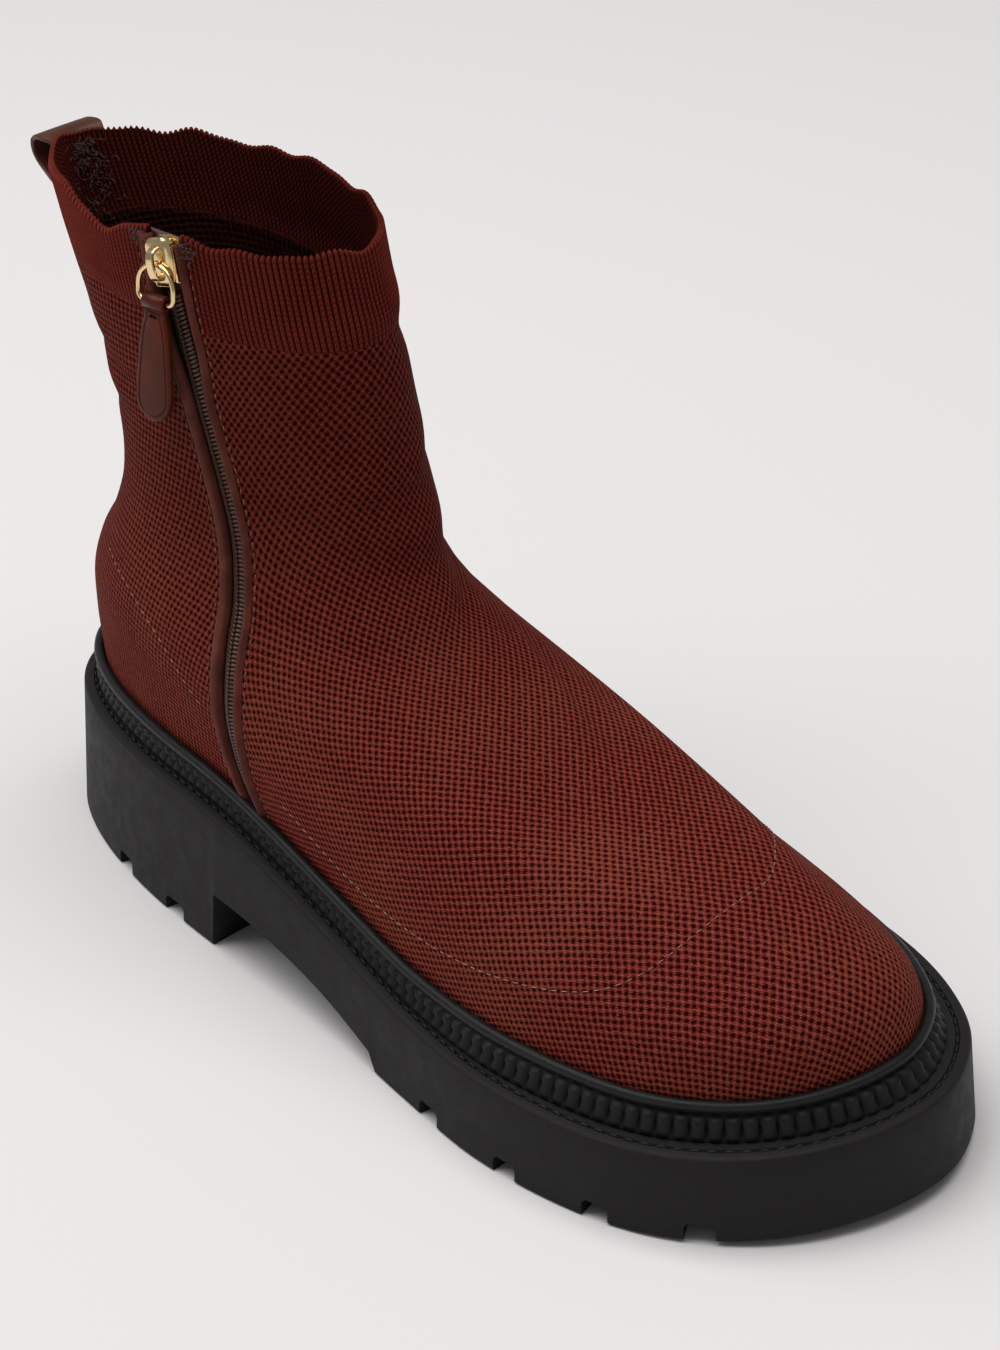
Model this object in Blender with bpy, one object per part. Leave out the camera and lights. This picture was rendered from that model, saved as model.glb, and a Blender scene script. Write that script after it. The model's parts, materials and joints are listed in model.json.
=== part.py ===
"""Left ankle boot: a knitted sock upper with a side zip on a lugged rubber sole. Metres, +Z up.

While it is modelled, X runs from the heel's back (0) to the toe, +Y is the outer side of the foot
and the zip is on the inner side. The parent empty then puts the middle of the sole at the origin.
"""
import math
from collections import namedtuple

import bmesh
import bpy
import numpy as np
from mathutils import Matrix, Vector

# driving sizes
LENGTH = 0.285            # sole, heel to toe, at its top edge
BALL_WIDTH = 0.114        # sole, across the ball, at its top edge
HEEL_TOP = 0.038          # height of the sole's ledge at the heel
FORE_TOP = 0.0215         # height of the sole's ledge at the ball
HEEL_LENGTH = 0.093       # back of the heel to the breast
FORE_START = 0.158        # where the first lug behind the ball begins
ARCH_HEIGHT = 0.016       # underside of the arch beside the breast
LUG_DEPTH = 0.0045
TOE_SPRING = 0.0034       # lift of the toe's underside
DROP_START = 0.28         # share of LENGTH where the sole's top starts down from the heel
DROP_END = 0.64
SPRING_START = 0.80       # share of LENGTH where the toe starts to lift
HEEL_BEVEL = 0.0012       # lift of the heel's back edge
BEVEL_LENGTH = 0.010
FLARE_HEEL = 0.0046       # the heel is wider at the floor by this on each side
FLARE_TOE = 0.0016        # the same for the front of the sole
COLLAR_Z = 0.181          # height of the collar's rim
COLLAR_WIDTH = 0.052
WALL = 0.002              # knit with its lining
GAP = 0.0003              # clearance between pieces that touch
LEDGE_HEEL = 0.0068       # ledge between the sole's edge and the upper, at the heel
LEDGE_TOE = 0.0115        # the same at the toe
INSOLE_THICK = 0.004
INSOLE_EASE = 0.0016      # insole's edge to the inside of the upper

# rubber rand round the upper's foot
RAND_HEIGHT = 0.0094
RAND_FOOT_HEEL = 0.0031   # how far its foot stands out at the heel
RAND_FOOT_TOE = 0.0058    # the same at the toe
BEAD_OUT = 0.0027

# zip and trim
SLOT = 0.0070             # opening between the two pipings
SLOT_TOP = 0.0104         # the same beside the slider
PIPING_WIDTH = 0.0045
PIPING_THICK = 0.0012
TAPE_OVERLAP = 0.0085
TAPE_THICK = 0.0008
COIL_WIDTH = 0.0040
COIL_DEPTH = 0.0016
SLIDER_DROP = 0.0062      # rim down to the slider's middle
SLIDER_LENGTH = 0.0115
SLIDER_WIDTH = 0.0084
SLIDER_THICK = 0.0043
BAIL_LENGTH = 0.0066
BAIL_WIDTH = 0.0022
BAIL_BAR = 0.0010
BAIL_OPENING = 0.0023
RING_WIRE = 0.00065       # radius of the ring's wire
RING_WIDTH = 0.0114
RING_LENGTH = 0.0090
RING_CORNER = 0.0016
TAB_LENGTH = 0.0290
TAB_NECK = 0.0068
TAB_WIDTH = 0.0112
TAB_THICK = 0.0018
TAB_BORE = 0.00105
RING_STAND = 0.0024210236  # piping's face to the middle of the ring's straight bar
TAB_LEAN_DEG = 4.5        # how far the tab leans out from the knit
STRIP_WIDTH = 0.0086
STRIP_THICK = 0.0009
STRIP_END_Z = 0.088
LOOP_WIDTH = 0.0172
LOOP_THICK = 0.0012
LOOP_LEG = 0.0165         # rim down to the end of its sewn outer leg
LOOP_STAND = 0.0055       # this far off the collar the fold no longer follows its curve

# Outline of the sole's top edge: share of LENGTH, then half-widths as shares of half BALL_WIDTH.
Outline = namedtuple("Outline", "along medial lateral")
OUTLINE = [
    Outline(0.000, 0.000, 0.000),
    Outline(0.020, 0.250, 0.250),
    Outline(0.060, 0.415, 0.425),
    Outline(0.120, 0.550, 0.570),
    Outline(0.200, 0.655, 0.650),
    Outline(0.300, 0.735, 0.690),
    Outline(0.400, 0.800, 0.725),
    Outline(0.500, 0.865, 0.800),
    Outline(0.600, 0.955, 0.900),
    Outline(0.700, 1.030, 0.945),
    Outline(0.780, 1.020, 0.910),
    Outline(0.860, 0.935, 0.805),
    Outline(0.920, 0.770, 0.650),
    Outline(0.960, 0.570, 0.480),
    Outline(0.985, 0.350, 0.290),
    Outline(1.000, 0.000, 0.000),
]

# Rings of the upper from its foot to the collar. back, front and widest are shares of LENGTH.
# back_z and front_z are shares of the height from the sole's top to the rim. medial and lateral
# are shares of a half-width that passes from the ball's to the collar's as shaft goes to 1.
# ridge is the sideways place of the ring's front, a share of half BALL_WIDTH.
Ring = namedtuple("Ring", "back front widest back_z front_z medial lateral shaft heel toe ridge")
RINGS = [
    Ring(0.026, 0.953, 0.700, 0.000, 0.000, 0.88, 0.79, 0.0, 2.1, 2.3, -0.03),
    Ring(0.025, 0.955, 0.700, 0.070, 0.062, 0.89, 0.78, 0.0, 2.1, 2.4, -0.04),
    Ring(0.028, 0.950, 0.600, 0.165, 0.138, 0.86, 0.65, 0.0, 2.1, 2.6, -0.06),
    Ring(0.042, 0.918, 0.430, 0.265, 0.197, 0.79, 0.58, 0.0, 2.1, 2.5, -0.09),
    Ring(0.066, 0.852, 0.340, 0.350, 0.253, 0.72, 0.58, 0.0, 2.1, 2.2, -0.12),
    Ring(0.093, 0.744, 0.300, 0.420, 0.291, 0.74, 0.60, 0.2, 2.1, 2.0, -0.12),
    Ring(0.108, 0.630, 0.280, 0.490, 0.346, 0.81, 0.66, 0.5, 2.1, 2.0, -0.11),
    Ring(0.113, 0.534, 0.270, 0.552, 0.408, 0.89, 0.76, 0.7, 2.1, 2.0, -0.09),
    Ring(0.109, 0.475, 0.265, 0.615, 0.481, 0.97, 0.88, 0.85, 2.1, 2.0, -0.06),
    Ring(0.097, 0.446, 0.260, 0.685, 0.583, 1.04, 0.99, 0.95, 2.1, 2.0, -0.02),
    Ring(0.080, 0.424, 0.250, 0.770, 0.712, 1.06, 1.03, 1.0, 2.1, 2.1, 0.00),
    Ring(0.050, 0.408, 0.230, 0.885, 0.856, 1.02, 1.06, 1.0, 2.1, 2.1, 0.00),
    Ring(0.024, 0.391, 0.215, 1.012, 0.990, 0.98, 1.11, 1.0, 2.1, 2.1, 0.00),
]
FOOT_ROWS = 5             # the sole's own outline fades out of the rings over these
BEAD_ROW = 1              # ring at the top of the rand

# Middle of the zip: share of the height from the floor to the rim, and share of LENGTH.
ZipPlace = namedtuple("ZipPlace", "height along")
ZIP_LINE = [
    ZipPlace(0.20, 0.380),
    ZipPlace(0.29, 0.359),
    ZipPlace(0.37, 0.358),
    ZipPlace(0.45, 0.353),
    ZipPlace(0.53, 0.343),
    ZipPlace(0.61, 0.330),
    ZipPlace(0.71, 0.308),
    ZipPlace(0.81, 0.286),
    ZipPlace(0.91, 0.266),
    ZipPlace(1.00, 0.253),
]

# Side grooves of the tread: share of LENGTH, width and reach inwards in metres.
Groove = namedtuple("Groove", "along width reach")
GROOVES = [
    Groove(0.166, 0.0076, 0.017),
    Groove(0.256, 0.0086, 0.019),
    Groove(0.642, 0.0074, 0.023),
    Groove(0.738, 0.0068, 0.024),
    Groove(0.827, 0.0068, 0.021),
    Groove(0.906, 0.0072, 0.017),
]
# Cross grooves in the middle of the tread: share of LENGTH and half-length in metres.
Bar = namedtuple("Bar", "along half_length")
BARS = [Bar(0.100, 0.012), Bar(0.690, 0.026), Bar(0.785, 0.025), Bar(0.868, 0.018)]
BAR_WIDTH = 0.0060

# Fold of the pull loop: distance out from the collar's wall, and height over the rim as a share of LOOP_LEG.
Fold = namedtuple("Fold", "out rise")
LOOP_FOLD = [
    Fold(0.0010, -1.000),
    Fold(0.0010, -0.740),
    Fold(0.0020, -0.600),
    Fold(0.0046, -0.470),
    Fold(0.0066, -0.330),
    Fold(0.0072, -0.190),
    Fold(0.0063, -0.040),
    Fold(0.0045, 0.058),
    Fold(0.0022, 0.086),
    Fold(0.0000, 0.086),
    Fold(-0.0018, 0.072),
    Fold(-0.0032, 0.012),
    Fold(-0.0037, -0.100),
    Fold(-0.0038, -0.260),
    Fold(-0.0038, -0.350),
]

MEDIAL = -1
LATERAL = 1

# how finely the curved pieces are divided
SIDE_SAMPLES = 161
ROWS = [0, 1, 1.5, 2, 2.5, 3, 3.5, 4, 4.5, 5, 5.5, 6, 7, 8, 9, 10, 10.8, 11.3, 12]
SLOT_ROW = 2              # the zip's slot starts at this one of ROWS
FRONT_COLUMNS = 13        # zip to toe
OUTER_COLUMNS = 30        # toe to heel on the outer side
BACK_COLUMNS = 6          # heel to zip
TOE_COLUMN = 2 + FRONT_COLUMNS
HEEL_COLUMN = TOE_COLUMN + OUTER_COLUMNS + 2
SOLE_STATIONS = 47
END_TURN = 0.055          # the sole's first and last stations stop this short of its ends, in radians
INSOLE_STATIONS = 30
LOOP_STEPS = 25
RING_SIDES = 8


def smooth(knots, values, at):
    """Cubic curve through the values, with each tangent from its neighbours."""
    knots = np.asarray(knots, float)
    values = np.asarray(values, float)
    slopes = np.gradient(values, knots)
    low = np.clip(np.searchsorted(knots, at) - 1, 0, len(knots) - 2)
    span = knots[low + 1] - knots[low]
    t = (at - knots[low]) / span
    start = (2 * t**3 - 3 * t**2 + 1) * values[low] + (t**3 - 2 * t**2 + t) * span * slopes[low]
    end = (3 * t**2 - 2 * t**3) * values[low + 1] + (t**3 - t**2) * span * slopes[low + 1]
    return start + end


def ease(share):
    """Smooth step from 0 to 1."""
    share = np.clip(share, 0.0, 1.0)
    return share * share * (3 - 2 * share)


def half_width(turn, side):
    """Half-width of the sole's top edge; turn goes from 0 at the heel's back to pi at the toe."""
    knots = [math.acos(1 - 2 * row.along) for row in OUTLINE]
    shares = [row.medial if side == MEDIAL else row.lateral for row in OUTLINE]
    return smooth(knots, shares, turn) * BALL_WIDTH / 2


def sole_top(x):
    """Height of the sole's ledge."""
    share = x / LENGTH
    drop = ease((share - DROP_START) / (DROP_END - DROP_START))
    lift = np.clip((share - SPRING_START) / (1 - SPRING_START), 0, 1) ** 2
    return HEEL_TOP + (FORE_TOP - HEEL_TOP) * drop + TOE_SPRING * lift


def underside(x):
    """Height of the sole's underside before the grooves are cut."""
    if x <= HEEL_LENGTH:
        return HEEL_BEVEL * max(0.0, 1 - x / BEVEL_LENGTH) ** 2
    if x < FORE_START:
        share = (x - HEEL_LENGTH) / (FORE_START - HEEL_LENGTH)
        return LUG_DEPTH + (ARCH_HEIGHT - LUG_DEPTH) * math.cos(share * math.pi / 2)
    return TOE_SPRING * max(0.0, (x / LENGTH - SPRING_START) / (1 - SPRING_START)) ** 2


def ledge_width(x):
    """Ledge between the sole's edge and the upper."""
    return LEDGE_HEEL + (LEDGE_TOE - LEDGE_HEEL) * ease((x / LENGTH - 0.45) / 0.5)


def even(points, count):
    """Points at even arc lengths along a polyline."""
    steps = np.linalg.norm(np.diff(points[:, :2], axis=0), axis=1)
    run = np.concatenate([[0.0], np.cumsum(steps)])
    want = np.linspace(0, run[-1], count)
    return np.stack([np.interp(want, run, points[:, k]) for k in range(points.shape[1])], axis=1)


def foot_outline(side, inset):
    """Sole's outline drawn in by the ledge and a further inset, heel to toe, on the sole's top."""
    turn = np.linspace(0, math.pi, 4 * SIDE_SAMPLES)
    x = LENGTH * (1 - np.cos(turn)) / 2
    y = side * half_width(turn, side)
    along = np.stack([np.gradient(x), np.gradient(y)], axis=1)
    along /= np.linalg.norm(along, axis=1)[:, None]
    inward = np.stack([along[:, 1], -along[:, 0]], axis=1) * side
    inward[0] = (1, 0)
    inward[-1] = (-1, 0)
    move = ledge_width(x) + inset
    x = x + inward[:, 0] * move
    y = y + inward[:, 1] * move
    return even(np.stack([x, y, sole_top(x) + GAP], axis=1), SIDE_SAMPLES)


def plain_ring(place, side):
    """One side of the egg-shaped ring at a fractional row of RINGS, heel to toe."""
    row = Ring(*[smooth(range(len(RINGS)), [ring[k] for ring in RINGS], place)
                 for k in range(len(Ring._fields))])
    half = BALL_WIDTH / 2 * (1 - row.shaft) + COLLAR_WIDTH / 2 * row.shaft
    half *= row.medial if side == MEDIAL else row.lateral
    back, front, widest = (LENGTH * share for share in (row.back, row.front, row.widest))
    turn = np.linspace(0, math.pi, 4 * SIDE_SAMPLES)
    behind = turn < math.pi / 2
    power = 2 / np.where(behind, row.heel, row.toe)
    reach = np.abs(np.cos(turn)) ** power
    x = np.where(behind, widest - (widest - back) * reach, widest + (front - widest) * reach)
    y = side * half * np.sin(turn) ** power
    y += row.ridge * BALL_WIDTH / 2 * ease((x - widest) / (front - widest))
    low = HEEL_TOP + row.back_z * (COLLAR_Z - HEEL_TOP)
    high = FORE_TOP + row.front_z * (COLLAR_Z - FORE_TOP)
    z = low + (high - low) * (x - back) / (front - back)
    return even(np.stack([x, y, z], axis=1), SIDE_SAMPLES)


FOOT = {side: foot_outline(side, 0.0) for side in (MEDIAL, LATERAL)}
FIRST = {side: plain_ring(0, side) for side in (MEDIAL, LATERAL)}


def ring_side(place, side):
    """One side of the upper's outer surface at a fractional row, heel to toe."""
    fade = 1 - ease(place / FOOT_ROWS)
    return plain_ring(place, side) + fade * (FOOT[side] - FIRST[side])


def along_side(points, distance):
    """Points at given distances along one side of a ring."""
    steps = np.linalg.norm(np.diff(points[:, :2], axis=0), axis=1)
    run = np.concatenate([[0.0], np.cumsum(steps)])
    return np.stack([np.interp(distance, run, points[:, k]) for k in range(3)], axis=1)


def side_length(points):
    """Length of one side of a ring."""
    return float(np.linalg.norm(np.diff(points[:, :2], axis=0), axis=1).sum())


def zip_distance(points):
    """Distance of the zip's middle along the medial side of a ring."""
    heights = [row.height for row in ZIP_LINE]
    places = [row.along for row in ZIP_LINE]
    wanted = smooth(heights, places, points[:, 2] / COLLAR_Z)
    miss = points[:, 0] - wanted * LENGTH
    at = int(np.argmax(miss > 0))
    share = -miss[at - 1] / (miss[at] - miss[at - 1])
    return (at - 1 + share) / (len(points) - 1) * side_length(points)


def slot_half(place):
    """Half the zip's opening, wider beside the slider."""
    last = len(RINGS) - 1
    widen = ease((place - (last - 1.9)) / 0.7)
    return (SLOT + (SLOT_TOP - SLOT) * widen) / 2


def ring_row(place):
    """A row of points round the upper: slot's front edge, toe, outer side, heel, slot's rear edge."""
    inner = ring_side(place, MEDIAL)
    outer = ring_side(place, LATERAL)
    middle = zip_distance(inner)
    half = slot_half(place)
    steps = np.array([0, PIPING_WIDTH + GAP, TAPE_OVERLAP + GAP])
    strip = np.array([STRIP_WIDTH / 2 + GAP, LOOP_WIDTH / 2 + GAP])
    to_toe = np.linspace(middle + half + steps[-1], side_length(inner), FRONT_COLUMNS + 1)[1:]
    to_heel = np.linspace(side_length(outer), strip[-1], OUTER_COLUMNS + 1)[1:]
    to_zip = np.linspace(strip[-1], middle - half - steps[-1], BACK_COLUMNS + 1)[1:]
    first = along_side(inner, np.concatenate([middle + half + steps, to_toe]))
    second = along_side(outer, np.concatenate([to_heel, strip[:1], [0.0]]))
    third = along_side(inner, np.concatenate([strip, to_zip, middle - half - steps[:2][::-1]]))
    return np.concatenate([first, second, third])


def outward(grid):
    """Unit normals of a closed grid, level on its first and last rows."""
    across = np.roll(grid, -1, axis=1) - np.roll(grid, 1, axis=1)
    up = np.gradient(grid, axis=0)
    normal = np.cross(across, up)
    normal[[0, -1], :, 2] = 0.0
    return normal / np.linalg.norm(normal, axis=2)[:, :, None]


UPPER = np.array([ring_row(place) for place in ROWS])
NORMAL = outward(UPPER)


def material(name, colour, roughness, metallic=0.0):
    """Principled material."""
    made = bpy.data.materials.new(name)
    made.use_nodes = True
    shader = made.node_tree.nodes["Principled BSDF"]
    shader.inputs["Base Color"].default_value = (*colour, 1.0)
    shader.inputs["Roughness"].default_value = roughness
    shader.inputs["Metallic"].default_value = metallic
    made.diffuse_color = (*colour, 1.0)
    return made


def add_object(name, points, faces, look, place=(0, 0, 0)):
    """Object from points in the model's frame, with its origin at place."""
    mesh = bpy.data.meshes.new(name)
    origin = np.array(place)
    mesh.from_pydata([tuple(point - origin) for point in np.asarray(points, float)], [], faces)
    work = bmesh.new()
    work.from_mesh(mesh)
    bmesh.ops.recalc_face_normals(work, faces=work.faces)
    work.to_mesh(mesh)
    work.free()
    mesh.validate()
    if look:
        mesh.materials.append(look)
        mesh.shade_smooth()
        mesh.set_sharp_from_angle(angle=math.radians(35))
    item = bpy.data.objects.new(name, mesh)
    item.location = place
    bpy.context.collection.objects.link(item)
    return item


def grid_faces(rows, columns, start=0, closed=False):
    """Quads of a grid whose points are stored row by row."""
    faces = []
    for r in range(rows - 1):
        for c in range(columns if closed else columns - 1):
            after = (c + 1) % columns
            low = start + r * columns
            high = low + columns
            faces.append((low + c, low + after, high + after, high + c))
    return faces


def slab(name, top, under, look):
    """Closed solid between two open grids of the same shape."""
    rows, columns = top.shape[:2]
    count = rows * columns
    faces = grid_faces(rows, columns) + grid_faces(rows, columns, count)
    edge = [(0, c) for c in range(columns)] + [(r, columns - 1) for r in range(1, rows)]
    edge += [(rows - 1, c) for c in range(columns - 2, -1, -1)] + [(r, 0) for r in range(rows - 2, 0, -1)]
    for (r0, c0), (r1, c1) in zip(edge, edge[1:] + edge[:1]):
        a = r0 * columns + c0
        b = r1 * columns + c1
        faces.append((a, b, b + count, a + count))
    points = np.concatenate([top.reshape(-1, 3), under.reshape(-1, 3)])
    return add_object(name, points, faces, look)


def prism(name, outline, low, high, frame, look=None, place=(0, 0, 0)):
    """Outline in the first two axes of a frame, extruded along the third."""
    base = [frame @ Vector((x, y, low)) for x, y in outline]
    top = [frame @ Vector((x, y, high)) for x, y in outline]
    count = len(outline)
    sides = [(i, (i + 1) % count, (i + 1) % count + count, i + count) for i in range(count)]
    faces = [tuple(range(count)), tuple(range(count, 2 * count))] + sides
    return add_object(name, [tuple(point) for point in base + top], faces, look, place)


def helper(item):
    """Marks an object as a cutter or tool body."""
    item.hide_render = True
    item.display_type = "WIRE"
    return item


def boolean(item, tool, operation):
    """Boolean modifier with the exact solver."""
    change = item.modifiers.new(operation.title(), "BOOLEAN")
    change.object = tool
    change.operation = operation
    change.solver = "EXACT"


def sole_stations():
    """Places along the sole, closer at its ends and doubled at the breast and the first lug."""
    run = 0.001
    steps = [HEEL_LENGTH, HEEL_LENGTH + run, FORE_START - run, FORE_START]
    turns = np.linspace(END_TURN, math.pi - END_TURN, SOLE_STATIONS)
    free = [x for x in LENGTH * (1 - np.cos(turns)) / 2 if min(abs(x - s) for s in steps) > 2 * run]
    return np.array(sorted(free + steps))


def sole_edge(x, side):
    """Point of the sole's top edge in plan."""
    return x, side * half_width(math.acos(1 - 2 * x / LENGTH), side)


def sole_foot(x, side):
    """Point of the sole's lower edge in plan, spread by the flare."""
    share = x / LENGTH
    flare = FLARE_HEEL + (FLARE_TOE - FLARE_HEEL) * ease((share - 0.2) / 0.3)
    grown = x - FLARE_HEEL * (1 - share) ** 8 + FLARE_TOE * share ** 8
    return grown, sole_edge(x, side)[1] * (1 + 2 * flare / BALL_WIDTH)


def groove_box(centre, inward, width, length, top, points, faces):
    """Adds one box for a groove, from below the floor up to top."""
    across = np.array([-inward[1], inward[0]])
    start = len(points)
    for z in (-LUG_DEPTH, top):
        for u, v in ((-1, 0), (1, 0), (1, 1), (-1, 1)):
            plan = centre + across * u * width / 2 + inward * v * length
            points.append((plan[0], plan[1], z))
    a, b, c, d, e, f, g, h = range(start, start + 8)
    faces += [(a, b, c, d), (e, f, g, h), (a, b, f, e), (b, c, g, f), (c, d, h, g), (d, a, e, h)]


def tread_cutter():
    """All grooves of the tread as one cutter."""
    points, faces = [], []
    outside = 0.006
    for groove in GROOVES:
        x = groove.along * LENGTH
        for side in (MEDIAL, LATERAL):
            before = np.array(sole_foot(x - groove.width / 2, side))
            after = np.array(sole_foot(x + groove.width / 2, side))
            along = (after - before) / np.linalg.norm(after - before)
            inward = np.array([along[1], -along[0]]) * side
            edge = np.array(sole_foot(x, side))
            top = underside(x) + LUG_DEPTH
            start = edge - inward * outside
            groove_box(start, inward, groove.width, groove.reach + outside, top, points, faces)
    for bar in BARS:
        x = bar.along * LENGTH
        start = np.array([x, -bar.half_length])
        top = underside(x) + LUG_DEPTH
        groove_box(start, np.array([0.0, 1.0]), BAR_WIDTH, 2 * bar.half_length, top, points, faces)
    return helper(add_object("tread_cutter", points, faces, None))


def make_outsole(look):
    """Sole with its heel, arch, toe spring and cut tread."""
    top, under = [], []
    for x in sole_stations():
        edges = [sole_edge(x, side) for side in (MEDIAL, LATERAL)]
        feet = [sole_foot(x, side) for side in (MEDIAL, LATERAL)]
        top.append([(px, py, sole_top(px)) for px, py in edges])
        under.append([(px, py, underside(x)) for px, py in feet])
    sole = slab("outsole", np.array(top), np.array(under), look)
    boolean(sole, tread_cutter(), "DIFFERENCE")
    return sole


def make_insole(look):
    """Footbed on the sole's top inside the upper."""
    top, under = [], []
    medial = foot_outline(MEDIAL, WALL + INSOLE_EASE)
    lateral = foot_outline(LATERAL, WALL + INSOLE_EASE)
    start = medial[0, 0]
    end = medial[-1, 0]
    for turn in np.linspace(2 * END_TURN, math.pi - 2 * END_TURN, INSOLE_STATIONS):
        x = start + (end - start) * (1 - math.cos(turn)) / 2
        pair = [np.interp(x, side[:, 0], side[:, 1]) for side in (medial, lateral)]
        under.append([(x, y, sole_top(x) + GAP) for y in pair])
        top.append([(x, y, sole_top(x) + GAP + INSOLE_THICK) for y in pair])
    return slab("insole", np.array(top), np.array(under), look)


def make_upper(look):
    """Knitted shell, open at the collar, underneath and along the zip."""
    rows, columns = UPPER.shape[:2]
    count = rows * columns
    inside = UPPER - NORMAL * WALL
    points = np.concatenate([UPPER.reshape(-1, 3), inside.reshape(-1, 3)])
    faces = []
    for r in range(rows - 1):
        for c in range(columns):
            if c == columns - 1 and r >= SLOT_ROW:
                continue
            after = (c + 1) % columns
            quad = (r * columns + c, r * columns + after, (r + 1) * columns + after, (r + 1) * columns + c)
            faces.append(quad)
            faces.append(tuple(i + count for i in quad))
    for c in range(columns):
        a, b = c, (c + 1) % columns
        faces.append((a, b, b + count, a + count))
        if c < columns - 1:
            a, b = a + (rows - 1) * columns, b + (rows - 1) * columns
            faces.append((a, b, b + count, a + count))
    for r in range(SLOT_ROW, rows - 1):
        for c in (0, columns - 1):
            a, b = r * columns + c, (r + 1) * columns + c
            faces.append((a, b, b + count, a + count))
    a, b = SLOT_ROW * columns, SLOT_ROW * columns + columns - 1
    faces.append((a, b, b + count, a + count))
    return add_object("upper", points, faces, look)


def make_rand(look):
    """Rubber band round the foot of the upper, with a bead along its top."""
    low, high = UPPER[0], UPPER[BEAD_ROW]
    plan = NORMAL[0]
    foot = RAND_FOOT_HEEL + (RAND_FOOT_TOE - RAND_FOOT_HEEL) * ease((low[:, 0] / LENGTH - 0.35) / 0.6)
    profile = [
        (GAP, 0.0),
        (foot, 0.0),
        (foot - 0.0006, 0.30 * RAND_HEIGHT),
        (foot - 0.0014, 0.62 * RAND_HEIGHT),
        (BEAD_OUT, 0.74 * RAND_HEIGHT),
        (BEAD_OUT - 0.0006, 0.95 * RAND_HEIGHT),
        (GAP, RAND_HEIGHT),
    ]
    rise = high[:, 2] - low[:, 2]
    loops = []
    for out, height in profile:
        share = (height / rise)[:, None]
        point = low + (high - low) * share + plan * np.broadcast_to(out, rise.shape)[:, None]
        point[:, 2] = np.maximum(low[:, 2], sole_top(point[:, 0]) + GAP) + height
        loops.append(point)
    grid = np.array(loops)
    rows, columns = grid.shape[:2]
    faces = grid_faces(rows, columns, closed=True)
    last = (rows - 1) * columns
    faces += [(c, (c + 1) % columns, last + (c + 1) % columns, last + c) for c in range(columns)]
    return add_object("rand", grid.reshape(-1, 3), faces, look)


def zip_rows():
    """Rows of the upper that the zip runs along."""
    return range(SLOT_ROW, len(ROWS))


def make_piping(name, columns, look):
    """Leather edge laid over the knit beside the zip."""
    rows = list(zip_rows())
    base = UPPER[rows][:, columns]
    normal = NORMAL[rows][:, columns]
    base[:, 1] = base[:, 0] + (base[:, 1] - base[:, 0]) * PIPING_WIDTH / (PIPING_WIDTH + GAP)
    return slab(name, base + normal * (GAP + PIPING_THICK), base + normal * GAP, look)


def zip_strip(name, half, outer_depth, inner_depth, rows, look):
    """Strip along the middle of the zip between two depths below the knit's outer face."""
    edges = [UPPER.shape[1] - 1, 0]
    rear, front = (UPPER[rows][:, column] for column in edges)
    middle = (rear + front) / 2
    reach = (front - rear) / np.linalg.norm(front - rear, axis=1)[:, None]
    normal = NORMAL[rows][:, edges].mean(axis=1)
    normal /= np.linalg.norm(normal, axis=1)[:, None]
    start = (middle[1] - middle[0]) / np.linalg.norm(middle[1] - middle[0])
    middle[0] += start * 2 * GAP
    across = np.stack([middle - reach * half, middle, middle + reach * half], axis=1)
    out = normal[:, None, :]
    return slab(name, across - out * outer_depth, across - out * inner_depth, look)


def make_tape(look):
    """Woven tape behind the slot, sewn inside the knit on both sides."""
    rows = list(zip_rows())
    columns = [-3, -2, -1, 0, 1, 2]
    base = UPPER[rows][:, columns]
    normal = NORMAL[rows][:, columns]
    for edge, inner in ((0, 1), (5, 4)):
        share = GAP / (TAPE_OVERLAP - PIPING_WIDTH)
        base[:, edge] = base[:, edge] + (base[:, inner] - base[:, edge]) * share
    outer = WALL + GAP
    return slab("zip_tape", base - normal * outer, base - normal * (outer + TAPE_THICK), look)


def make_back_strip(look):
    """Thin leather strip over the back seam, below the pull loop."""
    columns = [HEEL_COLUMN - 1, HEEL_COLUMN, HEEL_COLUMN + 1]
    height = UPPER[:, HEEL_COLUMN, 2]
    top_z = height[-1] - LOOP_LEG - 2 * GAP
    rows = [r for r in range(len(ROWS)) if STRIP_END_Z < height[r] < top_z - 0.001]
    heights = [STRIP_END_Z] + [UPPER[r, HEEL_COLUMN, 2] for r in rows] + [top_z]
    base = np.array([at_height(z, columns) for z in heights])
    out = np.array([normal_at(z, columns) for z in heights])
    for edge in (0, 2):
        base[:, edge] = base[:, edge] + (base[:, 1] - base[:, edge]) * 2 * GAP / STRIP_WIDTH
    return slab("back_strip", base + out * (GAP + STRIP_THICK), base + out * GAP, look)


def between(values, z, columns):
    """Value on the upper's grid at a height, column by column."""
    found = []
    for column in columns:
        heights = UPPER[:, column, 2]
        found.append([np.interp(z, heights, values[:, column, k]) for k in range(3)])
    return np.array(found)


def at_height(z, columns):
    """Points of the upper's outer face at one height."""
    return between(UPPER, z, columns)


def normal_at(z, columns):
    """Outward normals of the upper at one height."""
    normal = between(NORMAL, z, columns)
    return normal / np.linalg.norm(normal, axis=1)[:, None]


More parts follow.
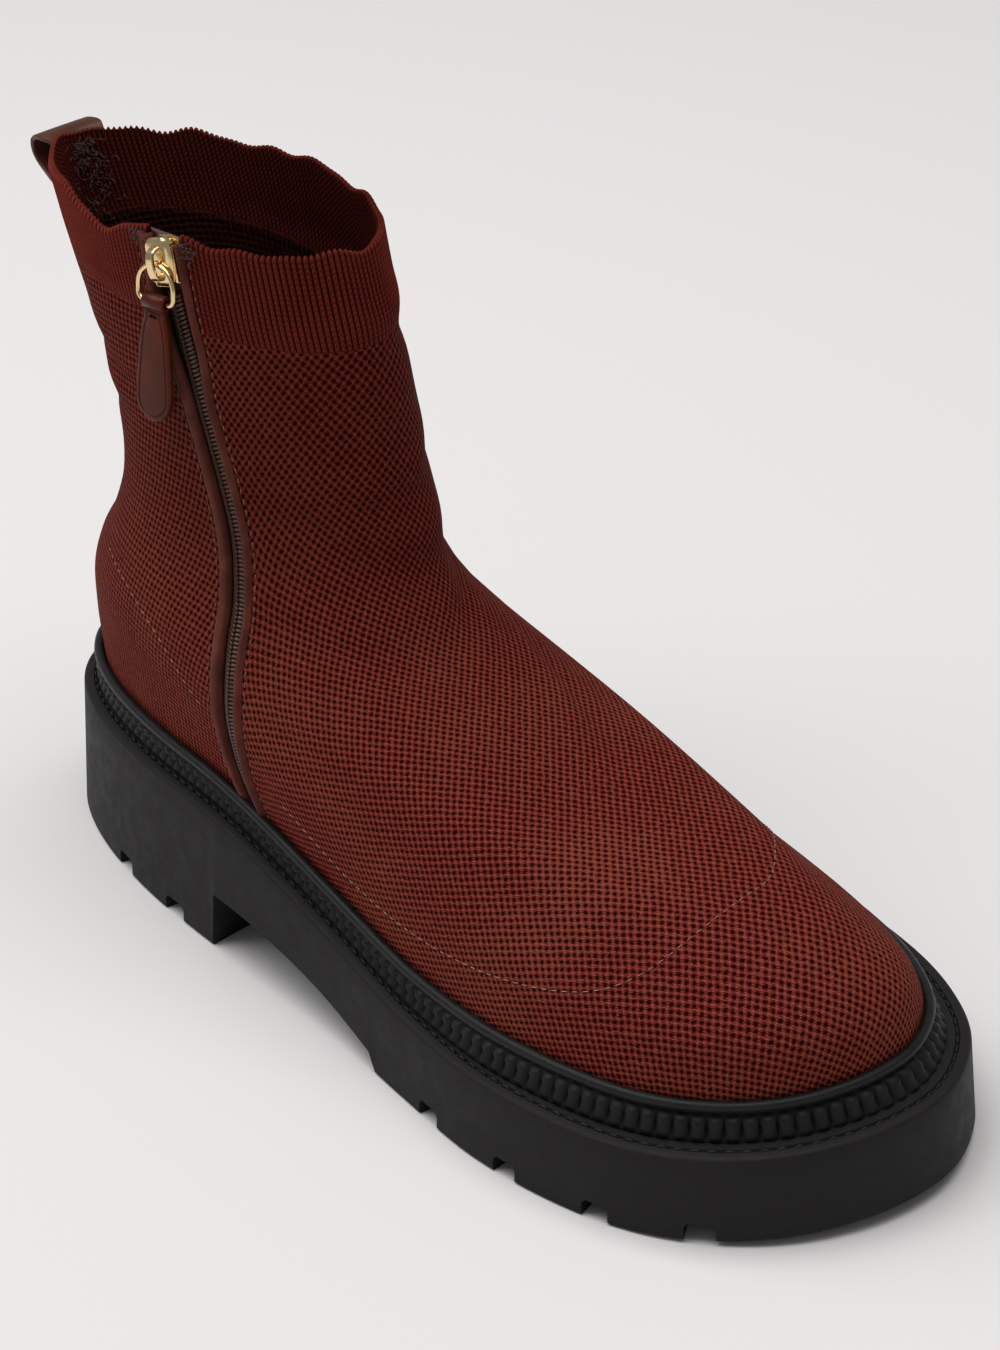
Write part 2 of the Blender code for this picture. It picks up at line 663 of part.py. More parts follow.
def make_pull_loop(look):
    """Leather loop over the collar's rim at the back seam, straight where it stands off."""
    rim = UPPER[-1, HEEL_COLUMN, 2]
    path = np.array([(fold.out, rim + fold.rise * LOOP_LEG) for fold in LOOP_FOLD])
    knots = range(len(path))
    places = np.linspace(0, len(path) - 1, LOOP_STEPS)
    line = np.stack([smooth(knots, path[:, k], places) for k in (0, 1)], axis=1)
    step = np.gradient(line, axis=0)
    step /= np.linalg.norm(step, axis=1)[:, None]
    away = np.stack([step[:, 1], -step[:, 0]], axis=1)
    columns = list(range(HEEL_COLUMN - 2, HEEL_COLUMN + 3))
    sheets = []
    for offset in (LOOP_THICK / 2, -LOOP_THICK / 2):
        rows = []
        for out, z in line + away * offset:
            level = min(z, rim)
            base = at_height(level, columns)
            plan = normal_at(level, columns) * (1, 1, 0)
            plan /= np.linalg.norm(plan, axis=1)[:, None]
            middle = len(columns) // 2
            across = np.array([-plan[middle, 1], plan[middle, 0], 0.0])
            straight = base[middle] + ((base - base[middle]) @ across)[:, None] * across
            share = ease(out / LOOP_STAND)
            row = (base + plan * out) * (1 - share) + (straight + plan[middle] * out) * share
            row[:, 2] = z
            rows.append(row)
        sheets.append(np.array(rows))
    return slab("pull_loop", sheets[0], sheets[1], look)


def slider_frame():
    """Frame on the knit's outer face at the slider: X along the zip's width, Y up the zip, Z outwards."""
    edges = [UPPER.shape[1] - 1, 0]
    z = COLLAR_Z - SLIDER_DROP
    below, here, above = (at_height(level, edges).mean(axis=0) for level in (z - 0.008, z, z + 0.008))
    up = Vector(above - below).normalized()
    out = Vector(normal_at(z, edges).mean(axis=0))
    out = (out - up * out.dot(up)).normalized()
    return Matrix.Translation(here) @ Matrix((up.cross(out), up, out)).transposed().to_4x4()


def hanging_frame(origin, lean):
    """Frame that leans out from the knit at the slider, its Y as upright as that allows."""
    out = slider_frame().to_3x3().col[2].normalized()
    up = Vector((0, 0, 1))
    up = (up - out * up.dot(out)).normalized()
    turn = Matrix.Rotation(-lean, 4, "X")
    return Matrix.Translation(origin) @ Matrix((up.cross(out), up, out)).transposed().to_4x4() @ turn


def rounded_bar(length, width, corner):
    """Rectangle with cut corners, for a bevelled block's outline."""
    u, v = width / 2, length / 2
    return [(-u + corner, -v), (u - corner, -v), (u, -v + corner), (u, v - corner),
            (u - corner, v), (-u + corner, v), (-u, v - corner), (-u, -v + corner)]


def make_slider(look):
    """Slider body on the tape, with a bail that the ring hangs from."""
    frame = slider_frame()
    bottom = -WALL
    top = bottom + SLIDER_THICK
    body = prism("zip_slider", rounded_bar(SLIDER_LENGTH, SLIDER_WIDTH, 0.0016), bottom, top, frame, look)
    half = BAIL_LENGTH / 2
    foot = top - 0.0006
    crown = top + BAIL_OPENING + BAIL_BAR
    inner = half - BAIL_BAR
    shoulder = top + 0.6 * BAIL_OPENING
    ceiling = top + BAIL_OPENING
    corner = 0.9 * BAIL_BAR
    right = [(inner - 0.6 * BAIL_BAR, ceiling), (inner, shoulder), (inner, foot), (half, foot),
             (half, crown - corner), (half - corner, crown)]
    staple = [(-x, y) for x, y in reversed(right)] + right
    side = frame @ Matrix(((0, 0, 1, 0), (1, 0, 0, 0), (0, 1, 0, 0), (0, 0, 0, 1)))
    bail = helper(prism("bail_tool", staple, -BAIL_WIDTH / 2, BAIL_WIDTH / 2, side))
    boolean(body, bail, "UNION")
    return body


def pivot_height():
    """Middle of the bail's opening over the knit's outer face."""
    return -WALL + SLIDER_THICK + BAIL_OPENING / 2


def ring_pivot():
    """Middle of the bail's opening."""
    return slider_frame() @ Vector((0, 0, pivot_height()))


def ring_frame():
    """Frame of the ring at its pivot, leaning so that its straight bar stands off the piping."""
    bar = GAP + PIPING_THICK + RING_STAND
    return hanging_frame(ring_pivot(), math.asin((bar - pivot_height()) / RING_LENGTH))


def ring_path():
    """D-shaped path of the ring below its pivot: round top, straight bottom bar."""
    half = RING_WIDTH / 2
    path = []
    for k in range(13):
        turn = math.pi * k / 12
        path.append((half * math.cos(turn), -half + half * math.sin(turn)))
    low = -RING_LENGTH + RING_CORNER
    for start, centre in ((math.pi, -half + RING_CORNER), (1.5 * math.pi, half - RING_CORNER)):
        for k in range(4):
            turn = start + math.pi / 2 * k / 3
            path.append((centre + RING_CORNER * math.cos(turn), low + RING_CORNER * math.sin(turn)))
    return path


def make_ring(look):
    """Thin wire ring through the bail."""
    frame = ring_frame()
    path = ring_path()
    count = len(path)
    points = []
    for i, (x, y) in enumerate(path):
        ahead, behind = path[(i + 1) % count], path[i - 1]
        along = Vector((ahead[0] - behind[0], ahead[1] - behind[1], 0)).normalized()
        beside = Vector((along.y, -along.x, 0))
        for k in range(RING_SIDES):
            turn = 2 * math.pi * k / RING_SIDES
            spoke = beside * math.cos(turn) + Vector((0, 0, 1)) * math.sin(turn)
            points.append(tuple(frame @ (Vector((x, y, 0)) + RING_WIRE * spoke)))
    faces = []
    for i in range(count):
        here = i * RING_SIDES
        following = (i + 1) % count * RING_SIDES
        for k in range(RING_SIDES):
            beyond = (k + 1) % RING_SIDES
            faces.append((here + k, here + beyond, following + beyond, following + k))
    return add_object("zip_ring", points, faces, look, tuple(ring_pivot()))


def tab_pivot():
    """Middle of the ring's straight bar."""
    return ring_frame() @ Vector((0, -RING_LENGTH, 0))


def tab_frame():
    """Frame of the pull tab at its bar, leaning a little off the knit."""
    return hanging_frame(tab_pivot(), math.radians(TAB_LEAN_DEG))


def tab_outline():
    """Teardrop outline below the bar: a neck that widens to a round end."""
    half = TAB_WIDTH / 2
    centre = -TAB_LENGTH + half
    right = [(TAB_NECK / 2, 0.0), (TAB_NECK / 2 + 0.0002, -0.004), (0.44 * TAB_WIDTH, 0.5 * centre)]
    arc = [(half * math.cos(t), centre + half * math.sin(t)) for t in np.linspace(0, -math.pi, 15)]
    left = [(-x, y) for x, y in reversed(right)]
    return right + arc + left


def disc(radius, sides):
    """Regular polygon."""
    return [(radius * math.cos(2 * math.pi * k / sides), radius * math.sin(2 * math.pi * k / sides))
            for k in range(sides)]


def make_tab(look):
    """Leather tab folded round the ring's bar."""
    pivot = tab_pivot()
    frame = tab_frame()
    half = TAB_THICK / 2
    tab = prism("pull_tab", tab_outline(), -half, half, frame, look, tuple(pivot))
    across = frame @ Matrix.Rotation(math.pi / 2, 4, "Y")
    head = helper(prism("tab_head", disc(TAB_BORE + 0.0009, 16), -TAB_NECK / 2, TAB_NECK / 2, across))
    bore = helper(prism("tab_bore", disc(TAB_BORE, 14), -TAB_NECK, TAB_NECK, across))
    boolean(tab, head, "UNION")
    boolean(tab, bore, "DIFFERENCE")
    return tab


def make_zip(tape_look, coil_look, metal, leather):
    """Zip and its two pipings."""
    last = UPPER.shape[1] - 1
    rows = [r for r in zip_rows() if UPPER[r, 0, 2] < COLLAR_Z - SLIDER_DROP - SLIDER_LENGTH / 2 - GAP]
    return [
        make_piping("piping_front", [0, 1], leather),
        make_piping("piping_rear", [last, last - 1], leather),
        make_tape(tape_look),
        zip_strip("zip_coil", COIL_WIDTH / 2, WALL - COIL_DEPTH, WALL, rows, coil_look),
        make_slider(metal),
        make_ring(metal),
        make_tab(leather),
    ]


def main():
    """Builds the boot and sets it over the origin."""
    for old in list(bpy.data.objects):
        bpy.data.objects.remove(old, do_unlink=True)
    rubber = material("black rubber", (0.018, 0.018, 0.019), 0.62)
    knit = material("brown knit", (0.150, 0.045, 0.032), 0.85)
    lining = material("dark lining", (0.050, 0.030, 0.028), 0.90)
    leather = material("brown leather", (0.085, 0.026, 0.018), 0.38)
    tape = material("dark tape", (0.035, 0.016, 0.014), 0.80)
    coil = material("dark coil", (0.040, 0.018, 0.015), 0.45)
    metal = material("gold metal", (0.720, 0.530, 0.280), 0.25, 1.0)
    pieces = [make_outsole(rubber), make_rand(rubber), make_upper(knit), make_insole(lining)]
    pieces += make_zip(tape, coil, metal, leather)
    pieces += [make_pull_loop(leather), make_back_strip(leather)]
    inner = max(abs(sole_foot(x, MEDIAL)[1]) for x in sole_stations())
    outer = max(abs(sole_foot(x, LATERAL)[1]) for x in sole_stations())
    boot = bpy.data.objects.new("boot", None)
    boot.location = ((FLARE_HEEL - LENGTH - FLARE_TOE) / 2, (inner - outer) / 2, 0)
    bpy.context.collection.objects.link(boot)
    tools = [item for item in bpy.data.objects if item.hide_render]
    for item in pieces + tools:
        item.parent = boot


main()
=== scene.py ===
"""Looks of the left ankle boot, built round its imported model. Metres, +Z up, the toe towards +X.

The upper, rand and sole are drawn from the same tables as the model's solids, only finer.
"""
import json
import math
import random
from collections import namedtuple

import bmesh
import bpy
import numpy as np
from mathutils import Matrix, Vector
from mathutils.bvhtree import BVHTree


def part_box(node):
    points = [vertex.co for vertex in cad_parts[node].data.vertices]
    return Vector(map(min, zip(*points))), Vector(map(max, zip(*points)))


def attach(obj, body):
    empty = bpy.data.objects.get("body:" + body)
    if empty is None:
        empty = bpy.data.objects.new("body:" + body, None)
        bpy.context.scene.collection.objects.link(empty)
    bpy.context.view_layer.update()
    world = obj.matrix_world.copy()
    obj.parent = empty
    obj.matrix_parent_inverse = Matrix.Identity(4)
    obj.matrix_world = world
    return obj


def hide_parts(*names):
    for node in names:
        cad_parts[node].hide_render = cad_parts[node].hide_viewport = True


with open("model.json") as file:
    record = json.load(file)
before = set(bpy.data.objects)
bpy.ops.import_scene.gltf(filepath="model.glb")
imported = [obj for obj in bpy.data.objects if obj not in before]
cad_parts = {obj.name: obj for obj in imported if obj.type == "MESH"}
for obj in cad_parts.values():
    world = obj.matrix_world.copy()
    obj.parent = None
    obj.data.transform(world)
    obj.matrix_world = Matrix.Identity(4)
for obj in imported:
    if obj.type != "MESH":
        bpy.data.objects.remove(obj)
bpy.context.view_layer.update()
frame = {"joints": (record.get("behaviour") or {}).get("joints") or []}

SHIFT = np.array([-0.141, 0.002615, 0.0])   # from the shape's frame to the row's frame
MM = 0.001

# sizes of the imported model
LENGTH = 0.285
BALL_WIDTH = 0.114
HEEL_TOP = 0.038
FORE_TOP = 0.0215
HEEL_LENGTH = 0.093
FORE_START = 0.158
ARCH_HEIGHT = 0.016
LUG_DEPTH = 0.0045
TOE_SPRING = 0.0034
DROP_START = 0.28
DROP_END = 0.64
SPRING_START = 0.80
HEEL_BEVEL = 0.0012
BEVEL_LENGTH = 0.010
FLARE_HEEL = 0.0046
FLARE_TOE = 0.0016
COLLAR_Z = 0.181
COLLAR_WIDTH = 0.052
WALL = 0.002
GAP = 0.0003
LEDGE_HEEL = 0.0068
LEDGE_TOE = 0.0115
INSOLE_THICK = 0.004
INSOLE_EASE = 0.0016
RAND_HEIGHT = 0.0094
RAND_FOOT_HEEL = 0.0031
RAND_FOOT_TOE = 0.0058
SLOT = 0.0070
SLOT_TOP = 0.0104
PIPING_WIDTH = 0.0045
SLIDER_DROP = 0.0062
SLIDER_THICK = 0.0043
BAIL_OPENING = 0.0023
RING_WIRE = 0.00065
RING_WIDTH = 0.0114
RING_LENGTH = 0.0090
RING_CORNER = 0.0016
TAB_LENGTH = 0.0290
TAB_NECK = 0.0068
TAB_WIDTH = 0.0112
TAB_THICK = 0.0018
TAB_BORE = 0.00105
RING_LIFT_DEG = 3.0
TAB_LIFT_DEG = 1.5
STRIP_WIDTH = 0.0086
STRIP_THICK = 0.0009
STRIP_END_Z = 0.088
LOOP_WIDTH = 0.0172
LOOP_THICK = 0.0012
LOOP_LEG = 0.0165
LOOP_STAND = 0.0055

Outline = namedtuple("Outline", "along medial lateral")
OUTLINE = [
    Outline(0.000, 0.000, 0.000),
    Outline(0.020, 0.250, 0.250),
    Outline(0.060, 0.415, 0.425),
    Outline(0.120, 0.550, 0.570),
    Outline(0.200, 0.655, 0.650),
    Outline(0.300, 0.735, 0.690),
    Outline(0.400, 0.800, 0.725),
    Outline(0.500, 0.865, 0.800),
    Outline(0.600, 0.955, 0.900),
    Outline(0.700, 1.030, 0.945),
    Outline(0.780, 1.020, 0.910),
    Outline(0.860, 0.935, 0.805),
    Outline(0.920, 0.770, 0.650),
    Outline(0.960, 0.570, 0.480),
    Outline(0.985, 0.350, 0.290),
    Outline(1.000, 0.000, 0.000),
]

Ring = namedtuple("Ring", "back front widest back_z front_z medial lateral shaft heel toe ridge")
RINGS = [
    Ring(0.026, 0.953, 0.700, 0.000, 0.000, 0.88, 0.79, 0.0, 2.1, 2.3, -0.03),
    Ring(0.025, 0.955, 0.700, 0.070, 0.062, 0.89, 0.78, 0.0, 2.1, 2.4, -0.04),
    Ring(0.028, 0.950, 0.600, 0.165, 0.138, 0.86, 0.65, 0.0, 2.1, 2.6, -0.06),
    Ring(0.042, 0.918, 0.430, 0.265, 0.197, 0.79, 0.58, 0.0, 2.1, 2.5, -0.09),
    Ring(0.066, 0.852, 0.340, 0.350, 0.253, 0.72, 0.58, 0.0, 2.1, 2.2, -0.12),
    Ring(0.093, 0.744, 0.300, 0.420, 0.291, 0.74, 0.60, 0.2, 2.1, 2.0, -0.12),
    Ring(0.108, 0.630, 0.280, 0.490, 0.346, 0.81, 0.66, 0.5, 2.1, 2.0, -0.11),
    Ring(0.113, 0.534, 0.270, 0.552, 0.408, 0.89, 0.76, 0.7, 2.1, 2.0, -0.09),
    Ring(0.109, 0.475, 0.265, 0.615, 0.481, 0.97, 0.88, 0.85, 2.1, 2.0, -0.06),
    Ring(0.097, 0.446, 0.260, 0.685, 0.583, 1.04, 0.99, 0.95, 2.1, 2.0, -0.02),
    Ring(0.080, 0.424, 0.250, 0.770, 0.712, 1.06, 1.03, 1.0, 2.1, 2.1, 0.00),
    Ring(0.050, 0.408, 0.230, 0.885, 0.856, 1.02, 1.06, 1.0, 2.1, 2.1, 0.00),
    Ring(0.024, 0.391, 0.215, 1.012, 0.990, 0.98, 1.11, 1.0, 2.1, 2.1, 0.00),
]
FOOT_ROWS = 5
TOP = len(RINGS) - 1
BAND_ROW = 10.97          # the rib band starts at this row of RINGS

ZipPlace = namedtuple("ZipPlace", "height along")
ZIP_LINE = [
    ZipPlace(0.20, 0.380),
    ZipPlace(0.29, 0.359),
    ZipPlace(0.37, 0.358),
    ZipPlace(0.45, 0.353),
    ZipPlace(0.53, 0.343),
    ZipPlace(0.61, 0.330),
    ZipPlace(0.71, 0.308),
    ZipPlace(0.81, 0.286),
    ZipPlace(0.91, 0.266),
    ZipPlace(1.00, 0.253),
]

Groove = namedtuple("Groove", "along width reach")
GROOVES = [
    Groove(0.166, 0.0076, 0.017),
    Groove(0.256, 0.0086, 0.019),
    Groove(0.642, 0.0074, 0.023),
    Groove(0.738, 0.0068, 0.024),
    Groove(0.827, 0.0068, 0.021),
    Groove(0.906, 0.0072, 0.017),
]
Bar = namedtuple("Bar", "along half_length")
BARS = [Bar(0.100, 0.012), Bar(0.690, 0.026), Bar(0.785, 0.025), Bar(0.868, 0.018)]
BAR_WIDTH = 0.0060

Fold = namedtuple("Fold", "out rise")
LOOP_FOLD = [
    Fold(0.0010, -1.000),
    Fold(0.0010, -0.740),
    Fold(0.0020, -0.600),
    Fold(0.0046, -0.470),
    Fold(0.0066, -0.330),
    Fold(0.0072, -0.190),
    Fold(0.0063, -0.040),
    Fold(0.0045, 0.058),
    Fold(0.0022, 0.088),
    Fold(0.0006, 0.072),
    Fold(-0.0006, 0.010),
    Fold(-0.0009, -0.080),
    Fold(-0.0010, -0.180),
]

# Soft folds of the knit: row of RINGS and distance from the front ridge (outer side positive) of the
# middle, its slope in rows per metre, half-length and half-width (rows), and depth.
Crease = namedtuple("Crease", "row across slope reach width depth")
CREASES = [
    Crease(7.2, -0.012, 16.0, 0.050, 0.34, 0.0011),
    Crease(8.3, 0.010, -12.0, 0.045, 0.30, 0.0009),
    Crease(9.3, 0.004, 9.0, 0.040, 0.22, 0.0006),
    Crease(10.85, 0.030, 0.0, 0.050, 0.20, 0.0011),
    Crease(5.6, 0.020, 8.0, 0.035, 0.28, 0.0006),
    Crease(9.9, -0.105, -10.0, 0.030, 0.20, 0.0008),
    Crease(8.6, -0.112, 12.0, 0.030, 0.26, 0.0008),
]

SIDE_SAMPLES = 301
MEDIAL = -1
LATERAL = 1
random.seed(7)


# ---- shape ----

def smooth(knots, values, at):
    """Cubic curve through the values, with each tangent from its neighbours."""
    knots = np.asarray(knots, float)
    values = np.asarray(values, float)
    slopes = np.gradient(values, knots)
    low = np.clip(np.searchsorted(knots, at) - 1, 0, len(knots) - 2)
    span = knots[low + 1] - knots[low]
    t = (at - knots[low]) / span
    start = (2 * t**3 - 3 * t**2 + 1) * values[low] + (t**3 - 2 * t**2 + t) * span * slopes[low]
    end = (3 * t**2 - 2 * t**3) * values[low + 1] + (t**3 - t**2) * span * slopes[low + 1]
    return start + end


def ease(share):
    """Smooth step from 0 to 1."""
    share = np.clip(share, 0.0, 1.0)
    return share * share * (3 - 2 * share)


def unit(vectors):
    """Vectors at length one."""
    return vectors / np.linalg.norm(vectors, axis=-1, keepdims=True)


def half_width(turn, side):
    """Half-width of the sole's top edge; turn goes from 0 at the heel's back to pi at the toe."""
    knots = [math.acos(1 - 2 * row.along) for row in OUTLINE]
    shares = [row.medial if side == MEDIAL else row.lateral for row in OUTLINE]
    return smooth(knots, shares, turn) * BALL_WIDTH / 2


def sole_top(x):
    """Height of the sole's ledge."""
    share = x / LENGTH
    drop = ease((share - DROP_START) / (DROP_END - DROP_START))
    lift = np.clip((share - SPRING_START) / (1 - SPRING_START), 0, 1) ** 2
    return HEEL_TOP + (FORE_TOP - HEEL_TOP) * drop + TOE_SPRING * lift


def underside(x):
    """Height of the sole's underside before the grooves are cut."""
    if x <= HEEL_LENGTH:
        return HEEL_BEVEL * max(0.0, 1 - x / BEVEL_LENGTH) ** 2
    if x < FORE_START:
        share = (x - HEEL_LENGTH) / (FORE_START - HEEL_LENGTH)
        return LUG_DEPTH + (ARCH_HEIGHT - LUG_DEPTH) * math.cos(share * math.pi / 2)
    return TOE_SPRING * max(0.0, (x / LENGTH - SPRING_START) / (1 - SPRING_START)) ** 2


def ledge_width(x):
    """Ledge between the sole's edge and the upper."""
    return LEDGE_HEEL + (LEDGE_TOE - LEDGE_HEEL) * ease((x / LENGTH - 0.45) / 0.5)


def run_along(points):
    """Distance run along a polyline, seen from above."""
    steps = np.linalg.norm(np.diff(points[:, :2], axis=0), axis=1)
    return np.concatenate([[0.0], np.cumsum(steps)])


def along_side(points, distance):
    """Points at given distances along one side of a ring."""
    run = run_along(points)
    return np.stack([np.interp(distance, run, points[:, k]) for k in range(3)], axis=1)


def even(points, count):
    """Points at even distances along a polyline."""
    return along_side(points, np.linspace(0, run_along(points)[-1], count))


def edge_curve(side, inset):
    """Sole's top edge drawn in by an inset, dense, heel to toe."""
    turn = np.linspace(0, math.pi, 4 * SIDE_SAMPLES)
    x = LENGTH * (1 - np.cos(turn)) / 2
    y = side * half_width(turn, side)
    along = unit(np.stack([np.gradient(x), np.gradient(y)], axis=1))
    inward = np.stack([along[:, 1], -along[:, 0]], axis=1) * side
    inward[0] = (1, 0)
    inward[-1] = (-1, 0)
    return x + inward[:, 0] * inset, y + inward[:, 1] * inset


def foot_outline(side, inset):
    """Sole's outline drawn in by the ledge and a further inset, heel to toe, on the sole's top."""
    turn = np.linspace(0, math.pi, 4 * SIDE_SAMPLES)
    x, y = edge_curve(side, ledge_width(LENGTH * (1 - np.cos(turn)) / 2) + inset)
    return even(np.stack([x, y, sole_top(x) + GAP], axis=1), SIDE_SAMPLES)


def plain_ring(place, side):
    """One side of the egg-shaped ring at a fractional row of RINGS, heel to toe."""
    row = Ring(*[smooth(range(len(RINGS)), [ring[k] for ring in RINGS], place)
                 for k in range(len(Ring._fields))])
    half = BALL_WIDTH / 2 * (1 - row.shaft) + COLLAR_WIDTH / 2 * row.shaft
    half *= row.medial if side == MEDIAL else row.lateral
    back, front, widest = (LENGTH * share for share in (row.back, row.front, row.widest))
    turn = np.linspace(0, math.pi, 4 * SIDE_SAMPLES)
    behind = turn < math.pi / 2
    power = 2 / np.where(behind, row.heel, row.toe)
    reach = np.abs(np.cos(turn)) ** power
    x = np.where(behind, widest - (widest - back) * reach, widest + (front - widest) * reach)
    y = side * half * np.sin(turn) ** power
    y += row.ridge * BALL_WIDTH / 2 * ease((x - widest) / (front - widest))
    low = HEEL_TOP + row.back_z * (COLLAR_Z - HEEL_TOP)
    high = FORE_TOP + row.front_z * (COLLAR_Z - FORE_TOP)
    z = low + (high - low) * (x - back) / (front - back)
    return even(np.stack([x, y, z], axis=1), SIDE_SAMPLES)


FOOT = {side: foot_outline(side, 0.0) for side in (MEDIAL, LATERAL)}
FIRST = {side: plain_ring(0, side) for side in (MEDIAL, LATERAL)}
KNOWN_RINGS = {}


def ring_side(place, side):
    """One side of the upper's outer surface at a fractional row, heel to toe."""
    key = (round(float(place), 5), side)
    if key not in KNOWN_RINGS:
        fade = 1 - ease(place / FOOT_ROWS)
        KNOWN_RINGS[key] = plain_ring(place, side) + fade * (FOOT[side] - FIRST[side])
    return KNOWN_RINGS[key]


def zip_distance(points):
    """Distance of the zip's middle along the medial side of a ring."""
    heights = [row.height for row in ZIP_LINE]
    places = [row.along for row in ZIP_LINE]
    wanted = smooth(heights, places, points[:, 2] / COLLAR_Z)
    miss = points[:, 0] - wanted * LENGTH
    at = int(np.argmax(miss > 0))
    share = -miss[at - 1] / (miss[at] - miss[at - 1])
    return (at - 1 + share) / (len(points) - 1) * run_along(points)[-1]


def slot_half(place):
    """Half the zip's opening, wider beside the slider."""
    widen = ease((place - (TOP - 1.9)) / 0.7)
    return (SLOT + (SLOT_TOP - SLOT) * widen) / 2


def shape_row(place, counts):
    """Row round the upper from the slot's front edge by the toe and heel to its rear edge.

    Returns the points and the distance of each from the front ridge, outer side positive.
    """
    inner = ring_side(place, MEDIAL)
    outer = ring_side(place, LATERAL)
    middle = zip_distance(inner)
    half = slot_half(place)
    inner_run = run_along(inner)[-1]
    outer_run = run_along(outer)[-1]
    to_toe = np.linspace(middle + half, inner_run, counts[0] + 1)
    to_heel = np.linspace(outer_run, 0, counts[1] + 1)[1:]
    to_zip = np.linspace(0, middle - half, counts[2] + 1)[1:]
    points = np.concatenate([along_side(inner, to_toe), along_side(outer, to_heel), along_side(inner, to_zip)])
    across = np.concatenate([to_toe - inner_run, outer_run - to_heel, to_zip - inner_run])
    return points, across


def normals_of(grid):
    """Unit normals of an open grid, pointing out of the boot."""
    across = np.gradient(grid, axis=1)
    up = np.gradient(grid, axis=0)
    return unit(np.cross(across, up))


def creased(grid, normal, places, across):
    """Grid with the knit's soft folds pressed in."""
    shift = np.zeros(grid.shape[:2])
    for crease in CREASES:
        off = across - crease.across
        rows = places[:, None] - crease.row - crease.slope * off
        shift -= crease.depth * np.exp(-(rows / crease.width) ** 2 - (off / crease.reach) ** 2)
        beside = np.exp(-((rows - 1.6 * crease.width) / crease.width) ** 2 - (off / crease.reach) ** 2)
        shift += 0.45 * crease.depth * beside
    return grid + normal * shift[:, :, None]


def medial_at(place, distance):
    """Point on the medial side at a distance from the zip's middle (towards the toe positive)."""
    inner = ring_side(place, MEDIAL)
    return along_side(inner, np.atleast_1d(zip_distance(inner) + distance))


def zip_normal(place, distance):
    """Outward normal beside the zip."""
    step = 0.0008
    low, high = max(place - 0.06, 0.0), min(place + 0.06, TOP)
    along = medial_at(place, distance + step) - medial_at(place, distance - step)
    up = medial_at(high, distance) - medial_at(low, distance)
    return unit(np.cross(along, up))


# ---- meshes ----

def add_mesh(name, points, faces, look, body="boot", nodes=(), uv=None, sharp=None, shift=SHIFT):
    """Piece from points in the shape's frame; uv is one pair a point."""
    mesh = bpy.data.meshes.new(name)
    mesh.from_pydata((np.asarray(points, float) + shift).tolist(), [], faces)
    work = bmesh.new()
    work.from_mesh(mesh)
    bmesh.ops.recalc_face_normals(work, faces=work.faces)
    work.to_mesh(mesh)
    work.free()
    mesh.materials.append(look)
    if uv is not None:
        layer = mesh.uv_layers.new(name="knit")
        index = np.zeros(len(mesh.loops), int)
        mesh.loops.foreach_get("vertex_index", index)
        layer.data.foreach_set("uv", np.asarray(uv, np.float32)[index].ravel())
    mesh.shade_smooth()
    if sharp:
        mesh.set_sharp_from_angle(angle=math.radians(sharp))
    item = bpy.data.objects.new(name, mesh)
    bpy.context.collection.objects.link(item)
    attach(item, body)
    if nodes:
        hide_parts(*nodes)
    return item


def loft_faces(rows, columns, wrap_rows=False, start=0):
    """Faces of a path of closed profiles, capped at its ends unless the path is closed."""
    faces = []
    for r in range(rows if wrap_rows else rows - 1):
        here = start + r * columns
        there = start + (r + 1) % rows * columns
        for c in range(columns):
            after = (c + 1) % columns
            faces.append((here + c, here + after, there + after, there + c))
    if not wrap_rows:
        faces.append(tuple(range(start, start + columns)))
        faces.append(tuple(range(start + (rows - 1) * columns, start + rows * columns)))
    return faces


def many(parts):
    """Points and faces of several lofts joined in one list."""
    points, faces = [], []
    for grid in parts:
        rows, columns = grid.shape[:2]
        faces += loft_faces(rows, columns, start=sum(len(p) for p in points))
        points.append(grid.reshape(-1, 3))
    return np.concatenate(points), faces


def bevel(item, width, segments=2, angle=30):
    """Rounded edges."""
    change = item.modifiers.new("edges", "BEVEL")
    change.width = width
    change.segments = segments
    change.limit_method = "ANGLE"
    change.angle_limit = math.radians(angle)
    return item


# ---- materials ----

